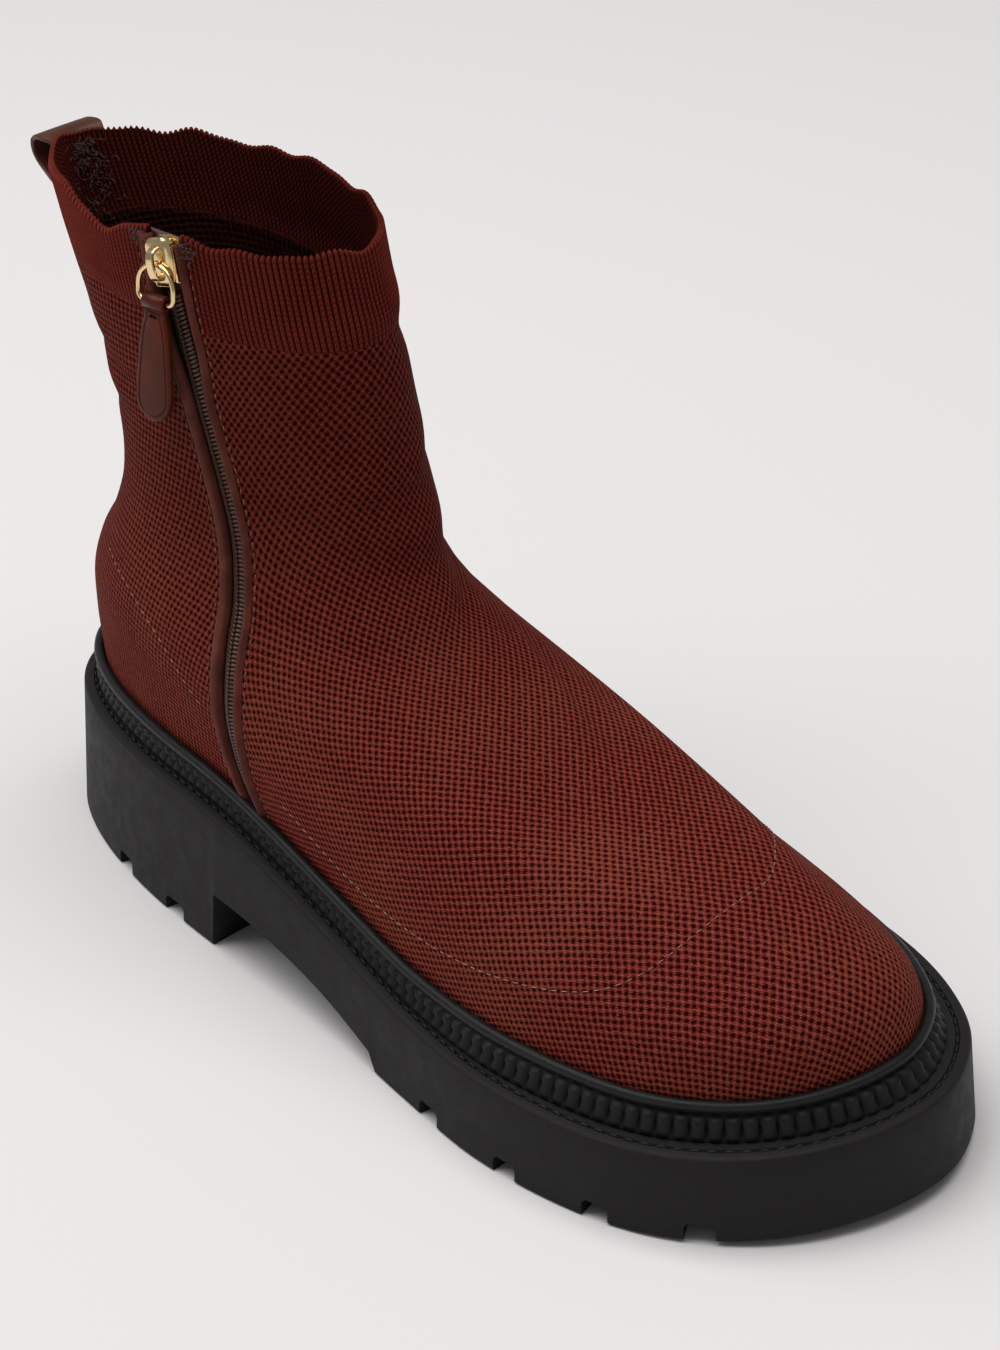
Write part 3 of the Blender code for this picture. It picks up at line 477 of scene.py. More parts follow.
class Look:
    """A principled material and short ways to add its nodes."""

    def __init__(self, name, colour, roughness, metallic=0.0):
        self.material = bpy.data.materials.new(name)
        self.material.use_nodes = True
        self.tree = self.material.node_tree
        self.shader = self.tree.nodes["Principled BSDF"]
        self.shader.inputs["Base Color"].default_value = (*colour, 1)
        self.shader.inputs["Roughness"].default_value = roughness
        self.shader.inputs["Metallic"].default_value = metallic
        self.material.diffuse_color = (*colour, 1)

    def wire(self, value, socket):
        """Sets a socket or links an output to it."""
        if isinstance(value, bpy.types.NodeSocket):
            self.tree.links.new(value, socket)
        else:
            socket.default_value = value

    def math(self, operation, *values, clamp=False):
        """Math node."""
        node = self.tree.nodes.new("ShaderNodeMath")
        node.operation = operation
        node.use_clamp = clamp
        for value, socket in zip(values, node.inputs):
            self.wire(value, socket)
        return node.outputs[0]

    def step(self, value, low, high, start=0.0, end=1.0):
        """Smooth change from start to end as value goes from low to high."""
        node = self.tree.nodes.new("ShaderNodeMapRange")
        node.interpolation_type = "SMOOTHSTEP"
        for v, key in ((value, "Value"), (low, "From Min"), (high, "From Max"), (start, "To Min"), (end, "To Max")):
            self.wire(v, node.inputs[key])
        return node.outputs[0]

    def mix(self, share, first, second):
        """Colour between two."""
        node = self.tree.nodes.new("ShaderNodeMix")
        node.data_type = "RGBA"
        self.wire(share, node.inputs[0])
        self.wire(first if isinstance(first, bpy.types.NodeSocket) else (*first, 1), node.inputs[6])
        self.wire(second if isinstance(second, bpy.types.NodeSocket) else (*second, 1), node.inputs[7])
        return node.outputs[2]

    def dim(self, colour, share, tint):
        """Colour multiplied by a tint, by a share."""
        node = self.tree.nodes.new("ShaderNodeMix")
        node.data_type = "RGBA"
        node.blend_type = "MULTIPLY"
        self.wire(share, node.inputs[0])
        self.wire(colour, node.inputs[6])
        node.inputs[7].default_value = (*tint, 1)
        return node.outputs[2]

    def place(self):
        """Object coordinates."""
        return self.tree.nodes.new("ShaderNodeTexCoord").outputs["Object"]

    def uv(self):
        """The two parts of the knit's own coordinates, in metres."""
        node = self.tree.nodes.new("ShaderNodeUVMap")
        node.uv_map = "knit"
        split = self.tree.nodes.new("ShaderNodeSeparateXYZ")
        self.tree.links.new(node.outputs[0], split.inputs[0])
        return split.outputs[0], split.outputs[1]

    def noise(self, scale, detail=2.0, rough=0.5, vector=None):
        """Noise at a scale per metre."""
        node = self.tree.nodes.new("ShaderNodeTexNoise")
        self.tree.links.new(vector or self.place(), node.inputs["Vector"])
        node.inputs["Scale"].default_value = scale
        node.inputs["Detail"].default_value = detail
        node.inputs["Roughness"].default_value = rough
        return node.outputs[0]

    def bump(self, height, distance, strength=1.0):
        """Bump from a height of 0 to 1."""
        node = self.tree.nodes.new("ShaderNodeBump")
        node.inputs["Strength"].default_value = strength
        node.inputs["Distance"].default_value = distance
        self.wire(height, node.inputs["Height"])
        self.tree.links.new(node.outputs[0], self.shader.inputs["Normal"])

    def colour(self, value):
        """Base colour."""
        self.wire(value, self.shader.inputs["Base Color"])

    def rough(self, value):
        """Roughness."""
        self.wire(value, self.shader.inputs["Roughness"])


# Painted highlight: the yarn's colour where light catches its raised knots.
KNIT_LIT = (0.305, 0.059, 0.042)
KNIT_MID = (0.135, 0.0125, 0.0080)
# Painted shade: near-black colour put in the knit's holes and between the rib's ridges.
DEEP_PAINTED_SHADE = (0.016, 0.0005, 0.0004)
# Painted shade inside the collar and the upper: the rib's and the knit's inner faces are darkened by these tints.
RIB_INSIDE_SHADE = (0.36, 0.34, 0.34)
KNIT_INSIDE_SHADE = (0.13, 0.12, 0.12)
INSIDE_UV = 10.0          # the inner skin's coordinates are set off by this, which tells it apart
HOLE_PITCH = 0.00205      # between holes of one course
COURSE = 0.00122          # between courses


def lattice(look, u, v, pitch, course, shift):
    """Distance to the nearest point of a staggered lattice, in metres."""
    found = []
    for half in (0.0, 0.5):
        across = look.math("ADD", look.math("DIVIDE", u, pitch), half + shift)
        along = look.math("ADD", look.math("DIVIDE", v, 2 * course), half)
        off_u = look.math("MULTIPLY", look.math("SUBTRACT", look.math("FRACT", across), 0.5), pitch)
        off_v = look.math("MULTIPLY", look.math("SUBTRACT", look.math("FRACT", along), 0.5), 2 * course)
        square = look.math("ADD", look.math("MULTIPLY", off_u, off_u), look.math("MULTIPLY", off_v, off_v))
        found.append(look.math("SQRT", square))
    return look.math("MINIMUM", *found)


# Painted shade: the knit of the shaft's front is darkened by this tint where less light falls on it.
SHAFT_SHADE_TINT = (0.58, 0.49, 0.49)


def shaft_shade_share(look):
    """Share of painted shade on the shaft: none on the foot, all of it above the ankle in front."""
    node = look.tree.nodes.new("ShaderNodeSeparateXYZ")
    look.tree.links.new(look.place(), node.inputs[0])
    up = look.step(node.outputs[2], 0.055, 0.125)
    ahead = look.step(node.outputs[0], -0.105, -0.045, 0.45, 1.0)
    return look.math("MULTIPLY", up, ahead)


def knit_look():
    """Honeycomb knit: brick yarn round small holes darkened by painted shade, with painted highlights on its knots and
    fibres.
    """
    look = Look("brick knit", KNIT_MID, 0.78)
    u, v = look.uv()
    # Painted shade on the knit's inner skin.
    inside = look.step(v, 0.3 * INSIDE_UV, 0.6 * INSIDE_UV)
    wander = look.math("MULTIPLY", look.math("SUBTRACT", look.noise(700, 2.0), 0.5), 0.00085)
    u = look.math("ADD", u, wander)
    drift = look.math("MULTIPLY", look.math("SUBTRACT", look.noise(560, 2.0), 0.5), 0.00070)
    v = look.math("ADD", v, drift)
    # Painted shade: the holes are coloured near-black.
    hole = look.step(lattice(look, u, v, HOLE_PITCH, COURSE, 0.0), 0.00022, 0.00070)
    knot = look.step(lattice(look, u, v, HOLE_PITCH, COURSE, 0.5), 0.00010, 0.00062, 1.0, 0.0)
    slant = look.math("ADD", look.math("DIVIDE", u, 0.00062), look.math("DIVIDE", v, 0.00100))
    strand = look.math("MULTIPLY_ADD", look.math("SINE", look.math("MULTIPLY", slant, 2 * math.pi)), 0.5, 0.5)
    fibre = look.math("ADD", look.math("MULTIPLY", look.noise(5200, 2.0, 0.6), 0.8), look.math("MULTIPLY", strand, 0.2))
    broad = look.noise(26, 3.0, 0.5)
    # Painted highlight on the raised knots between the holes.
    yarn = look.mix(look.math("MULTIPLY", knot, 0.85), KNIT_MID, KNIT_LIT)
    yarn = look.mix(look.step(broad, 0.38, 0.66, 0.0, 0.28), yarn, (0.26, 0.075, 0.035))
    # Painted shade in the fibres' lows and painted highlight on their raised highs.
    yarn = look.mix(look.step(fibre, 0.30, 0.52, 0.55, 0.0), yarn, (0.07, 0.006, 0.005))
    yarn = look.mix(look.step(fibre, 0.52, 0.72, 0.0, 0.55), yarn, (0.48, 0.150, 0.115))
    tone = look.dim(look.mix(hole, DEEP_PAINTED_SHADE, yarn), shaft_shade_share(look), SHAFT_SHADE_TINT)
    look.colour(look.dim(tone, inside, KNIT_INSIDE_SHADE))
    height = look.math("ADD", look.math("MULTIPLY", hole, 0.62), look.math("MULTIPLY", knot, 0.30))
    height = look.math("ADD", height, look.math("MULTIPLY", fibre, 0.22))
    look.bump(height, 0.00055, 0.9)
    look.shader.inputs["Sheen Weight"].default_value = 0.03
    look.shader.inputs["Sheen Roughness"].default_value = 0.45
    look.shader.inputs["Sheen Tint"].default_value = (1.0, 0.35, 0.25, 1)
    look.shader.inputs["Specular IOR Level"].default_value = 0.02
    return look.material


STITCH_RISE = 0.00125     # one knitted stitch along a rib


def rib_look():
    """Rib knit: raised columns of V stitches with painted light and shade, and painted shade in the grooves between."""
    look = Look("rib knit", KNIT_MID, 0.8)
    u, v = look.uv()
    phase = look.math("SUBTRACT", look.math("FRACT", u), 0.5)
    off = look.math("ABSOLUTE", phase)
    # Painted shade: the grooves between the ridges are coloured near-black.
    ridge = look.step(off, 0.24, 0.49, 1.0, 0.0)
    lean = look.math("MULTIPLY", off, 1.5)
    stitch = look.math("SINE", look.math("MULTIPLY", look.math("ADD", look.math("DIVIDE", v, STITCH_RISE), lean),
                                         2 * math.pi))
    stitch = look.math("MULTIPLY_ADD", stitch, 0.5, 0.5)
    fibre = look.noise(5200, 2.0, 0.6)
    broad = look.noise(40, 2.0, 0.5)
    # Painted light and shade: each V stitch goes from a shaded to a lit copy of the yarn's colour.
    yarn = look.mix(look.math("MULTIPLY_ADD", stitch, 0.72, 0.10), (0.135, 0.0140, 0.0090), (0.340, 0.062, 0.044))
    yarn = look.mix(look.step(broad, 0.4, 0.65, 0.0, 0.3), yarn, (0.34, 0.066, 0.040))
    yarn = look.mix(look.step(fibre, 0.35, 0.75, 0.35, 0.0), yarn, (0.05, 0.012, 0.009))
    # Painted shade on the band's inner face.
    inside = look.step(v, 0.4, 0.9)
    tone = look.dim(look.mix(ridge, DEEP_PAINTED_SHADE, yarn), shaft_shade_share(look), SHAFT_SHADE_TINT)
    look.colour(look.dim(tone, inside, RIB_INSIDE_SHADE))
    height = look.math("ADD", look.math("MULTIPLY", ridge, 0.4), look.math("MULTIPLY", stitch, 0.32))
    height = look.math("ADD", height, look.math("MULTIPLY", fibre, 0.2))
    look.bump(height, 0.0004, 0.9)
    look.shader.inputs["Sheen Weight"].default_value = 0.03
    look.shader.inputs["Sheen Roughness"].default_value = 0.45
    look.shader.inputs["Sheen Tint"].default_value = (1.0, 0.35, 0.25, 1)
    look.shader.inputs["Specular IOR Level"].default_value = 0.02
    return look.material


def rubber_look(name, colour, rough, grain):
    """Matt rubber with a fine grain."""
    look = Look(name, colour, rough)
    fine = look.noise(2600, 3.0, 0.6)
    coarse = look.noise(210, 3.0, 0.55)
    look.rough(look.step(coarse, 0.3, 0.7, rough - 0.05, rough + 0.08))
    look.colour(look.mix(look.step(coarse, 0.35, 0.7), colour, tuple(1.35 * c for c in colour)))
    look.bump(look.math("ADD", look.math("MULTIPLY", fine, 0.8), look.math("MULTIPLY", coarse, 0.5)), grain, 0.8)
    look.shader.inputs["Specular IOR Level"].default_value = 0.20
    return look.material


def leather_look(name, colour, rough, coat, grain):
    """Smooth leather with faint pores and uneven colour."""
    look = Look(name, colour, rough)
    pores = look.noise(2300, 2.0, 0.55)
    cloud = look.noise(120, 3.0, 0.5)
    look.colour(look.mix(look.step(cloud, 0.35, 0.7), colour, tuple(1.45 * c for c in colour)))
    look.rough(look.step(pores, 0.3, 0.7, rough - 0.05, rough + 0.08))
    look.bump(look.math("ADD", pores, look.math("MULTIPLY", cloud, 0.4)), grain, 0.6)
    look.shader.inputs["Specular IOR Level"].default_value = 0.14
    look.shader.inputs["Coat Weight"].default_value = coat
    look.shader.inputs["Coat Roughness"].default_value = 0.16
    return look.material


def nap_look():
    """Brushed microfibre of the zip's edges."""
    look = Look("brown microfibre", (0.10, 0.028, 0.019), 0.85)
    fine = look.noise(4200, 3.0, 0.6)
    cloud = look.noise(150, 3.0, 0.5)
    tone = look.mix(look.step(cloud, 0.35, 0.7), (0.100, 0.023, 0.016), (0.160, 0.042, 0.029))
    look.colour(look.mix(look.step(fine, 0.35, 0.7, 0.4, 0.0), tone, (0.05, 0.012, 0.009)))
    look.bump(fine, 0.0002, 0.7)
    look.shader.inputs["Sheen Weight"].default_value = 0.08
    look.shader.inputs["Sheen Roughness"].default_value = 0.4
    look.shader.inputs["Sheen Tint"].default_value = (1.0, 0.6, 0.5, 1)
    look.shader.inputs["Specular IOR Level"].default_value = 0.15
    return look.material


def tape_look():
    """Woven zip tape with fine ribs along it."""
    look = Look("zip tape", (0.045, 0.016, 0.011), 0.8)
    u, v = look.uv()
    wale = look.math("SINE", look.math("MULTIPLY", u, 2 * math.pi / 0.00085))
    course = look.math("SINE", look.math("MULTIPLY", v, 2 * math.pi / 0.0007))
    weave = look.math("MULTIPLY_ADD", look.math("MULTIPLY", wale, course), 0.5, 0.5)
    look.colour(look.mix(weave, (0.034, 0.012, 0.008), (0.125, 0.044, 0.024)))
    look.bump(weave, 0.00025, 0.9)
    return look.material


def gold_look():
    """Polished pale gold plate."""
    look = Look("pale gold", (0.86, 0.66, 0.36), 0.16, 1.0)
    cloud = look.noise(300, 3.0, 0.5)
    look.rough(look.step(cloud, 0.35, 0.7, 0.12, 0.24))
    look.bump(look.noise(900, 2.0, 0.5), 0.00005, 0.3)
    return look.material


def plain_look(name, colour, rough, grain=0.0):
    """Plain surface with a fine texture."""
    look = Look(name, colour, rough)
    fine = look.noise(1800, 3.0, 0.6)
    look.colour(look.mix(look.step(fine, 0.3, 0.7), tuple(0.75 * c for c in colour), tuple(1.2 * c for c in colour)))
    if grain:
        look.bump(fine, grain, 0.8)
    return look.material


KNIT = knit_look()
RIB = rib_look()
RUBBER = rubber_look("sole rubber", (0.0105, 0.0088, 0.0092), 0.60, 0.00022)
RAND_RUBBER = rubber_look("rand rubber", (0.0105, 0.0106, 0.0112), 0.42, 0.00010)
LEATHER = leather_look("loop leather", (0.070, 0.023, 0.012), 0.36, 0.15, 0.0001)
TAB_LEATHER = leather_look("tab leather", (0.066, 0.0105, 0.0030), 0.34, 0.10, 0.00004)
EDGE = plain_look("leather edge", (0.050, 0.018, 0.012), 0.5)
NAP = nap_look()
TAPE = tape_look()
COIL = plain_look("zip coil", (0.075, 0.033, 0.021), 0.34)
GOLD = gold_look()
FOOTBED = plain_look("footbed", (0.030, 0.018, 0.017), 0.9, 0.0002)
FUZZ = plain_look("loose thread", (0.070, 0.036, 0.032), 0.8)
THREAD = plain_look("pale thread", (0.36, 0.20, 0.155), 0.7)
RIB_THREAD = plain_look("brown thread", (0.20, 0.075, 0.05), 0.75)


# ---- upper ----

BODY_COUNTS = (112, 178, 62)
BODY_ROWS = 112


def flatten(grid):
    """Flat coordinates of a coarse copy of the grid, in metres, spread back to every point."""
    rows = np.unique(np.linspace(0, grid.shape[0] - 1, 29).astype(int))
    columns = np.unique(np.linspace(0, grid.shape[1] - 1, 89).astype(int))
    coarse = grid[np.ix_(rows, columns)]
    count = len(columns)
    faces = [(r * count + c, r * count + c + 1, (r + 1) * count + c + 1, (r + 1) * count + c)
             for r in range(len(rows) - 1) for c in range(count - 1)]
    mesh = bpy.data.meshes.new("pattern")
    mesh.from_pydata(coarse.reshape(-1, 3).tolist(), [], faces)
    mesh.uv_layers.new(name="flat")
    item = bpy.data.objects.new("pattern", mesh)
    bpy.context.collection.objects.link(item)
    bpy.context.view_layer.objects.active = item
    item.select_set(True)
    bpy.ops.object.mode_set(mode="EDIT")
    bpy.ops.mesh.select_all(action="SELECT")
    bpy.ops.uv.unwrap(method="MINIMUM_STRETCH", iterations=40, margin=0.0)
    bpy.ops.object.mode_set(mode="OBJECT")
    index = np.zeros(len(mesh.loops), int)
    mesh.loops.foreach_get("vertex_index", index)
    raw = np.zeros(2 * len(mesh.loops), np.float32)
    mesh.uv_layers["flat"].data.foreach_get("uv", raw)
    flat = np.zeros((len(mesh.vertices), 2))
    flat[index] = raw.reshape(-1, 2)
    flat = flat.reshape(len(rows), count, 2)
    bpy.data.objects.remove(item)
    real = np.linalg.norm(np.diff(coarse, axis=0), axis=2).sum() + np.linalg.norm(np.diff(coarse, axis=1), axis=2).sum()
    drawn = np.linalg.norm(np.diff(flat, axis=0), axis=2).sum() + np.linalg.norm(np.diff(flat, axis=1), axis=2).sum()
    flat = flat * real / drawn
    front = np.argmin(np.abs(columns - BODY_COUNTS[0]))
    up = flat[-4, front] - flat[-12, front]
    turn = math.atan2(up[0], up[1])
    flat = flat @ np.array([[math.cos(turn), math.sin(turn)], [-math.sin(turn), math.cos(turn)]])
    wide = np.array([[np.interp(np.arange(grid.shape[1]), columns, row[:, k]) for k in (0, 1)] for row in flat])
    tall = np.array([[np.interp(np.arange(grid.shape[0]), rows, wide[:, k, c]) for k in (0, 1)]
                     for c in range(grid.shape[1])])
    return np.transpose(tall, (2, 0, 1))


def make_body():
    """Knitted body of the upper, from its foot to the rib band."""
    places = np.linspace(0, BAND_ROW, BODY_ROWS)
    rows = [shape_row(place, BODY_COUNTS) for place in places]
    grid = np.array([row[0] for row in rows])
    across = np.array([row[1] for row in rows])
    normal = normals_of(grid)
    outer = creased(grid, normal, places, across)
    uv = flatten(outer)
    inner = outer - normal * WALL
    loop = np.concatenate([outer, inner[::-1]])
    uv_loop = np.concatenate([uv, uv[::-1] + (0.0, INSIDE_UV)])
    path = np.transpose(loop, (1, 0, 2))
    uv_path = np.transpose(uv_loop, (1, 0, 2))
    faces = loft_faces(*path.shape[:2])
    add_mesh("upper_knit", path.reshape(-1, 3), faces, KNIT, nodes=["upper"], uv=uv_path.reshape(-1, 2))
    return outer


RIB_PITCH = 0.00148
RIB_SIDES = 5
BAND_ROWS = 20
RIB_DEPTH = 0.00048


RIM_DIP = 0.915           # the rim hangs lowest behind the zip, as a share of the turn


def wavy(turn):
    """Slow waves and one dip of the collar's rim, as heights over a turn of 0 to 1."""
    waves = ((3, 0.0, 0.60), (7, 1.3, 0.55), (12, 2.1, 0.50), (19, 0.4, 0.34))
    lift = sum(size * np.sin(2 * math.pi * count * turn + start) for count, start, size in waves)
    dip = 4.2 * np.exp(-((turn - RIM_DIP) / 0.036) ** 2)
    return (lift - dip) * MM


def make_band():
    """Rib-knit collar band: outside, rolled rim and inside."""
    inner, outer = [run_along(ring_side(TOP, side))[-1] for side in (MEDIAL, LATERAL)]
    middle = zip_distance(ring_side(TOP, MEDIAL))
    lengths = (inner - middle - SLOT_TOP / 2, outer, middle - SLOT_TOP / 2)
    counts = [RIB_SIDES * int(round(length / RIB_PITCH)) for length in lengths]
    start = BAND_ROW - 0.03
    places = np.linspace(start, TOP - 0.05, BAND_ROWS)
    rows = [shape_row(place, counts) for place in places]
    grid = np.array([row[0] for row in rows])
    across = np.array([row[1] for row in rows])
    normal = normals_of(grid)
    grid = creased(grid, normal, places, across)
    turn = np.linspace(0, 1, grid.shape[1])
    lift = wavy(turn)
    weight = ease((places - start) / (TOP - start))[:, None]
    grid[:, :, 2] += weight * lift
    phase = np.arange(grid.shape[1]) / RIB_SIDES
    rib = 0.5 - 0.5 * np.cos(2 * math.pi * phase)
    fade = ease((places - start) / 0.5)[:, None]
    outer = grid + normal * ((rib - 0.6) * RIB_DEPTH * fade)[:, :, None]
    inside = normal * (-(WALL - 0.0001) - ((rib - 0.6) * RIB_DEPTH)[None, :, None])
    inner = (grid + inside)[::-1]
    top = (outer[-1] + inner[0]) / 2
    half = (outer[-1] - inner[0]) / 2
    rise = np.zeros_like(half)
    rise[:, 2] = np.linalg.norm(half, axis=1) * (1.0 + 0.35 * rib)
    rim = [top + half * math.cos(a) + rise * math.sin(a) for a in np.linspace(0, math.pi, 9)[1:-1]]
    low = inner[-1:] + (inner[-1:] - inner[-2:-1]) * 2
    loop = np.concatenate([outer, np.array(rim), inner, low])
    length = np.concatenate([[0.0], np.cumsum(np.linalg.norm(np.diff(loop[:, 0], axis=0), axis=1))])
    length[len(outer) + len(rim) - 2:] += 1.0
    uv = np.stack(np.meshgrid(phase, length, indexing="ij"), axis=2)
    path = np.transpose(loop, (1, 0, 2))
    faces = loft_faces(*path.shape[:2])
    return add_mesh("collar_rib", path.reshape(-1, 3), faces, RIB, nodes=["upper"], uv=uv.reshape(-1, 2))


# ---- zip ----

ZIP_ROWS = np.linspace(0.75, TOP - 0.03, 150)


def strip_grid(profile, rows=ZIP_ROWS):
    """Closed profiles along the zip: each point is a distance from its middle and a height over the knit."""
    grid = []
    for place in rows:
        points = []
        for across, height in profile(place):
            points.append(medial_at(place, across)[0] + zip_normal(place, across)[0] * height)
        grid.append(points)
    return np.array(grid)


def edge_width(place, side):
    """Width of a padded edge; the one on the toe's side is slimmer, most of all up the shaft."""
    slim = 0.0022 if side > 0 else 0.0006
    return PIPING_WIDTH - slim - 0.0006 * ease((place - 1.6) / 3.4)


def piping_profile(side):
    """Padded edge beside the slot, on the toe's side (1) or the heel's side (-1)."""
    def profile(place):
        edge = slot_half(place)
        width = edge_width(place, side)
        points = [(edge - 0.0003, -0.0016), (edge - 0.0005, -0.0004)]
        for k in range(9):
            share = k / 8
            height = 0.0003 + 0.00115 * math.sin(math.pi * min(1.0, 0.22 + 0.80 * share)) ** 0.7
            points.append((edge - 0.0004 + (width - 0.0002) * share, height))
        points.append((edge + width - 0.0004, 0.0001))
        return [(side * across, height) for across, height in points]
    return profile


def tape_profile(place):
    """Tape behind the slot, with a low rib beside the coil."""
    edge = slot_half(place) + 0.0035
    top = [(-edge, -0.0026), (-0.0034, -0.0020), (-0.0030, -0.0014), (-0.0024, -0.0013), (-0.0018, -0.0015),
           (0.0, -0.0016), (0.0024, -0.0014), (0.0032, -0.0018), (edge, -0.0026)]
    return top + [(edge, -0.0033), (-edge, -0.0033)]


def run_of(rows):
    """Distance run along the zip's middle at each row."""
    line = np.array([medial_at(place, 0.0)[0] for place in rows])
    return np.concatenate([[0.0], np.cumsum(np.linalg.norm(np.diff(line, axis=0), axis=1))])


COIL_SHIFT = 0.0002       # the coil lies nearer to the front edge
TOOTH_PITCH = 0.00105
TOOTH_REACH = 0.0021


def tooth(place, side, lean):
    """One turn of the coil, from its middle outwards, as a short rounded bar."""
    rings = []
    for share in (0.0, 0.12, 0.45, 0.8, 1.0):
        across = COIL_SHIFT + side * (0.00012 + TOOTH_REACH * share)
        centre = medial_at(place + lean * share, across)[0]
        normal = zip_normal(place, COIL_SHIFT)[0]
        centre = centre + normal * (-0.0002 - 0.0006 * share ** 2)
        size = 0.00047 * (0.35 if share in (0.0, 1.0) else 1.0)
        up = unit(medial_at(place + 0.05, across)[0] - medial_at(place - 0.05, across)[0])
        rings.append([centre + size * (up * math.cos(t) + normal * 1.1 * math.sin(t))
                      for t in np.linspace(0, 2 * math.pi, 7)[:-1]])
    return np.array(rings)


def make_coil():
    """Two meshed rows of coil turns up to the slider."""
    rows = np.linspace(0.8, TOP - 0.66, 400)
    run = run_of(rows)
    parts = []
    for k, distance in enumerate(np.arange(0.0006, run[-1] - 0.0006, TOOTH_PITCH / 2)):
        place = float(np.interp(distance, run, rows))
        parts.append(tooth(place, 1 if k % 2 else -1, 0.05))
    points, faces = many(parts)
    return add_mesh("zip_coil_turns", points, faces, COIL, nodes=["zip_coil"], sharp=60)


def make_zip():
    """Edges, tape and coil."""
    for name, node, side in (("edge_front", "piping_front", 1), ("edge_rear", "piping_rear", -1)):
        grid = strip_grid(piping_profile(side))
        add_mesh(name, grid.reshape(-1, 3), loft_faces(*grid.shape[:2]), NAP, nodes=[node])
    grid = strip_grid(tape_profile)
    run = run_of(ZIP_ROWS)
    reach = np.array([across for across, _ in tape_profile(5.0)])
    uv = np.stack(np.meshgrid(run, reach, indexing="ij")[::-1], axis=2)
    add_mesh("zip_tape_woven", grid.reshape(-1, 3), loft_faces(*grid.shape[:2]), TAPE,
             nodes=["zip_tape"], uv=uv.reshape(-1, 2), sharp=50)
    make_coil()


def at_height(z, side, distance):
    """Point on a side of the upper at a height and a distance from the heel's back line."""
    low, high = 0.0, float(TOP)
    for _ in range(30):
        middle = (low + high) / 2
        if along_side(ring_side(middle, side), np.array([distance]))[0][2] < z:
            low = middle
        else:
            high = middle
    return low


def slider_frame():
    """Frame on the knit's outer face at the slider: X across the zip, Y up it, Z outwards."""
    z = COLLAR_Z - SLIDER_DROP
    node_low, node_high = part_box("zip_slider")
    origin = Vector((-0.067524, -0.022523, 0.174800)) - Vector(SHIFT)
    place = at_height(z, MEDIAL, zip_distance(ring_side(TOP - 0.5, MEDIAL)))
    up = Vector(medial_at(place + 0.4, 0.0)[0] - medial_at(place - 0.6, 0.0)[0]).normalized()
    out = Vector(zip_normal(place, 0.0)[0])
    out = (out - up * out.dot(up)).normalized()
    return Matrix.Translation(origin) @ Matrix((up.cross(out), up, out)).transposed().to_4x4()


SLIDER = slider_frame()


def hanging_frame(origin):
    """Frame at the slider's bail whose Y is as upright as the knit allows, Z outwards."""
    out = SLIDER.to_3x3().col[2].normalized()
    up = Vector((0, 0, 1))
    up = (up - out * up.dot(out)).normalized()
    lean = Matrix.Rotation(-math.radians(RING_LIFT_DEG), 4, "X")
    return Matrix.Translation(origin) @ Matrix((up.cross(out), up, out)).transposed().to_4x4() @ lean


def joint_place(name):
    """A joint's place in the shape's frame."""
    found = [joint for joint in frame["joints"] if joint["name"] == name][0]
    return Vector(found["pos_m"]) - Vector(SHIFT)


RING_FRAME = hanging_frame(joint_place("ring_swing"))
TAB_FRAME = hanging_frame(joint_place("tab_swing")) @ Matrix.Rotation(-math.radians(TAB_LIFT_DEG), 4, "X")


def placed(grid, matrix):
    """Grid moved by a matrix."""
    turn = np.array(matrix.to_3x3())
    return grid @ turn.T + np.array(matrix.translation)


def block(outline, heights, insets):
    """Stack of an outline at heights, each drawn in by an inset, as a loft."""
    outline = np.array(outline, float)
    ahead = np.roll(outline, -1, axis=0) - np.roll(outline, 1, axis=0)
    inward = unit(np.stack([-ahead[:, 1], ahead[:, 0]], axis=1))
    grid = []
    for height, inset in zip(heights, insets):
        plan = outline + inward * inset
        grid.append(np.column_stack([plan, np.full(len(plan), height)]))
    return np.array(grid)


def rounded_outline(corners, radius, steps=5):
    """Anticlockwise outline with rounded corners."""
    corners = [Vector(corner) for corner in corners]
    points = []
    for k, corner in enumerate(corners):
        before = (corners[k - 1] - corner).normalized()
        after = (corners[(k + 1) % len(corners)] - corner).normalized()
        start = corner + before * radius
        end = corner + after * radius
        for s in np.linspace(0, 1, steps):
            points.append(tuple(start * (1 - s) ** 2 + corner * 2 * s * (1 - s) + end * s * s))
    return points


def ribbon(path, width, thick, side):
    """Flat bar swept along a path in the slider's Y and Z, as a loft; side is its place along X."""
    path = np.array(path, float)
    ahead = unit(np.gradient(path, axis=0))
    away = np.stack([-ahead[:, 1], ahead[:, 0]], axis=1)
    grid = []
    for point, normal in zip(path, away):
        low = point - normal * thick / 2
        high = point + normal * thick / 2
        cut = 0.25 * thick
        grid.append([
            (side - width / 2 + cut, *low), (side + width / 2 - cut, *low),
            (side + width / 2, *(low + normal * cut)), (side + width / 2, *(high - normal * cut)),
            (side + width / 2 - cut, *high), (side - width / 2 + cut, *high),
            (side - width / 2, *(high - normal * cut)), (side - width / 2, *(low + normal * cut)),
        ])
    return np.array(grid)


def curve_through(points, count):
    """Smooth path through a few points."""
    points = np.array(points, float)
    knots = range(len(points))
    at = np.linspace(0, len(points) - 1, count)
    return np.stack([smooth(knots, points[:, k], at) for k in range(points.shape[1])], axis=1)


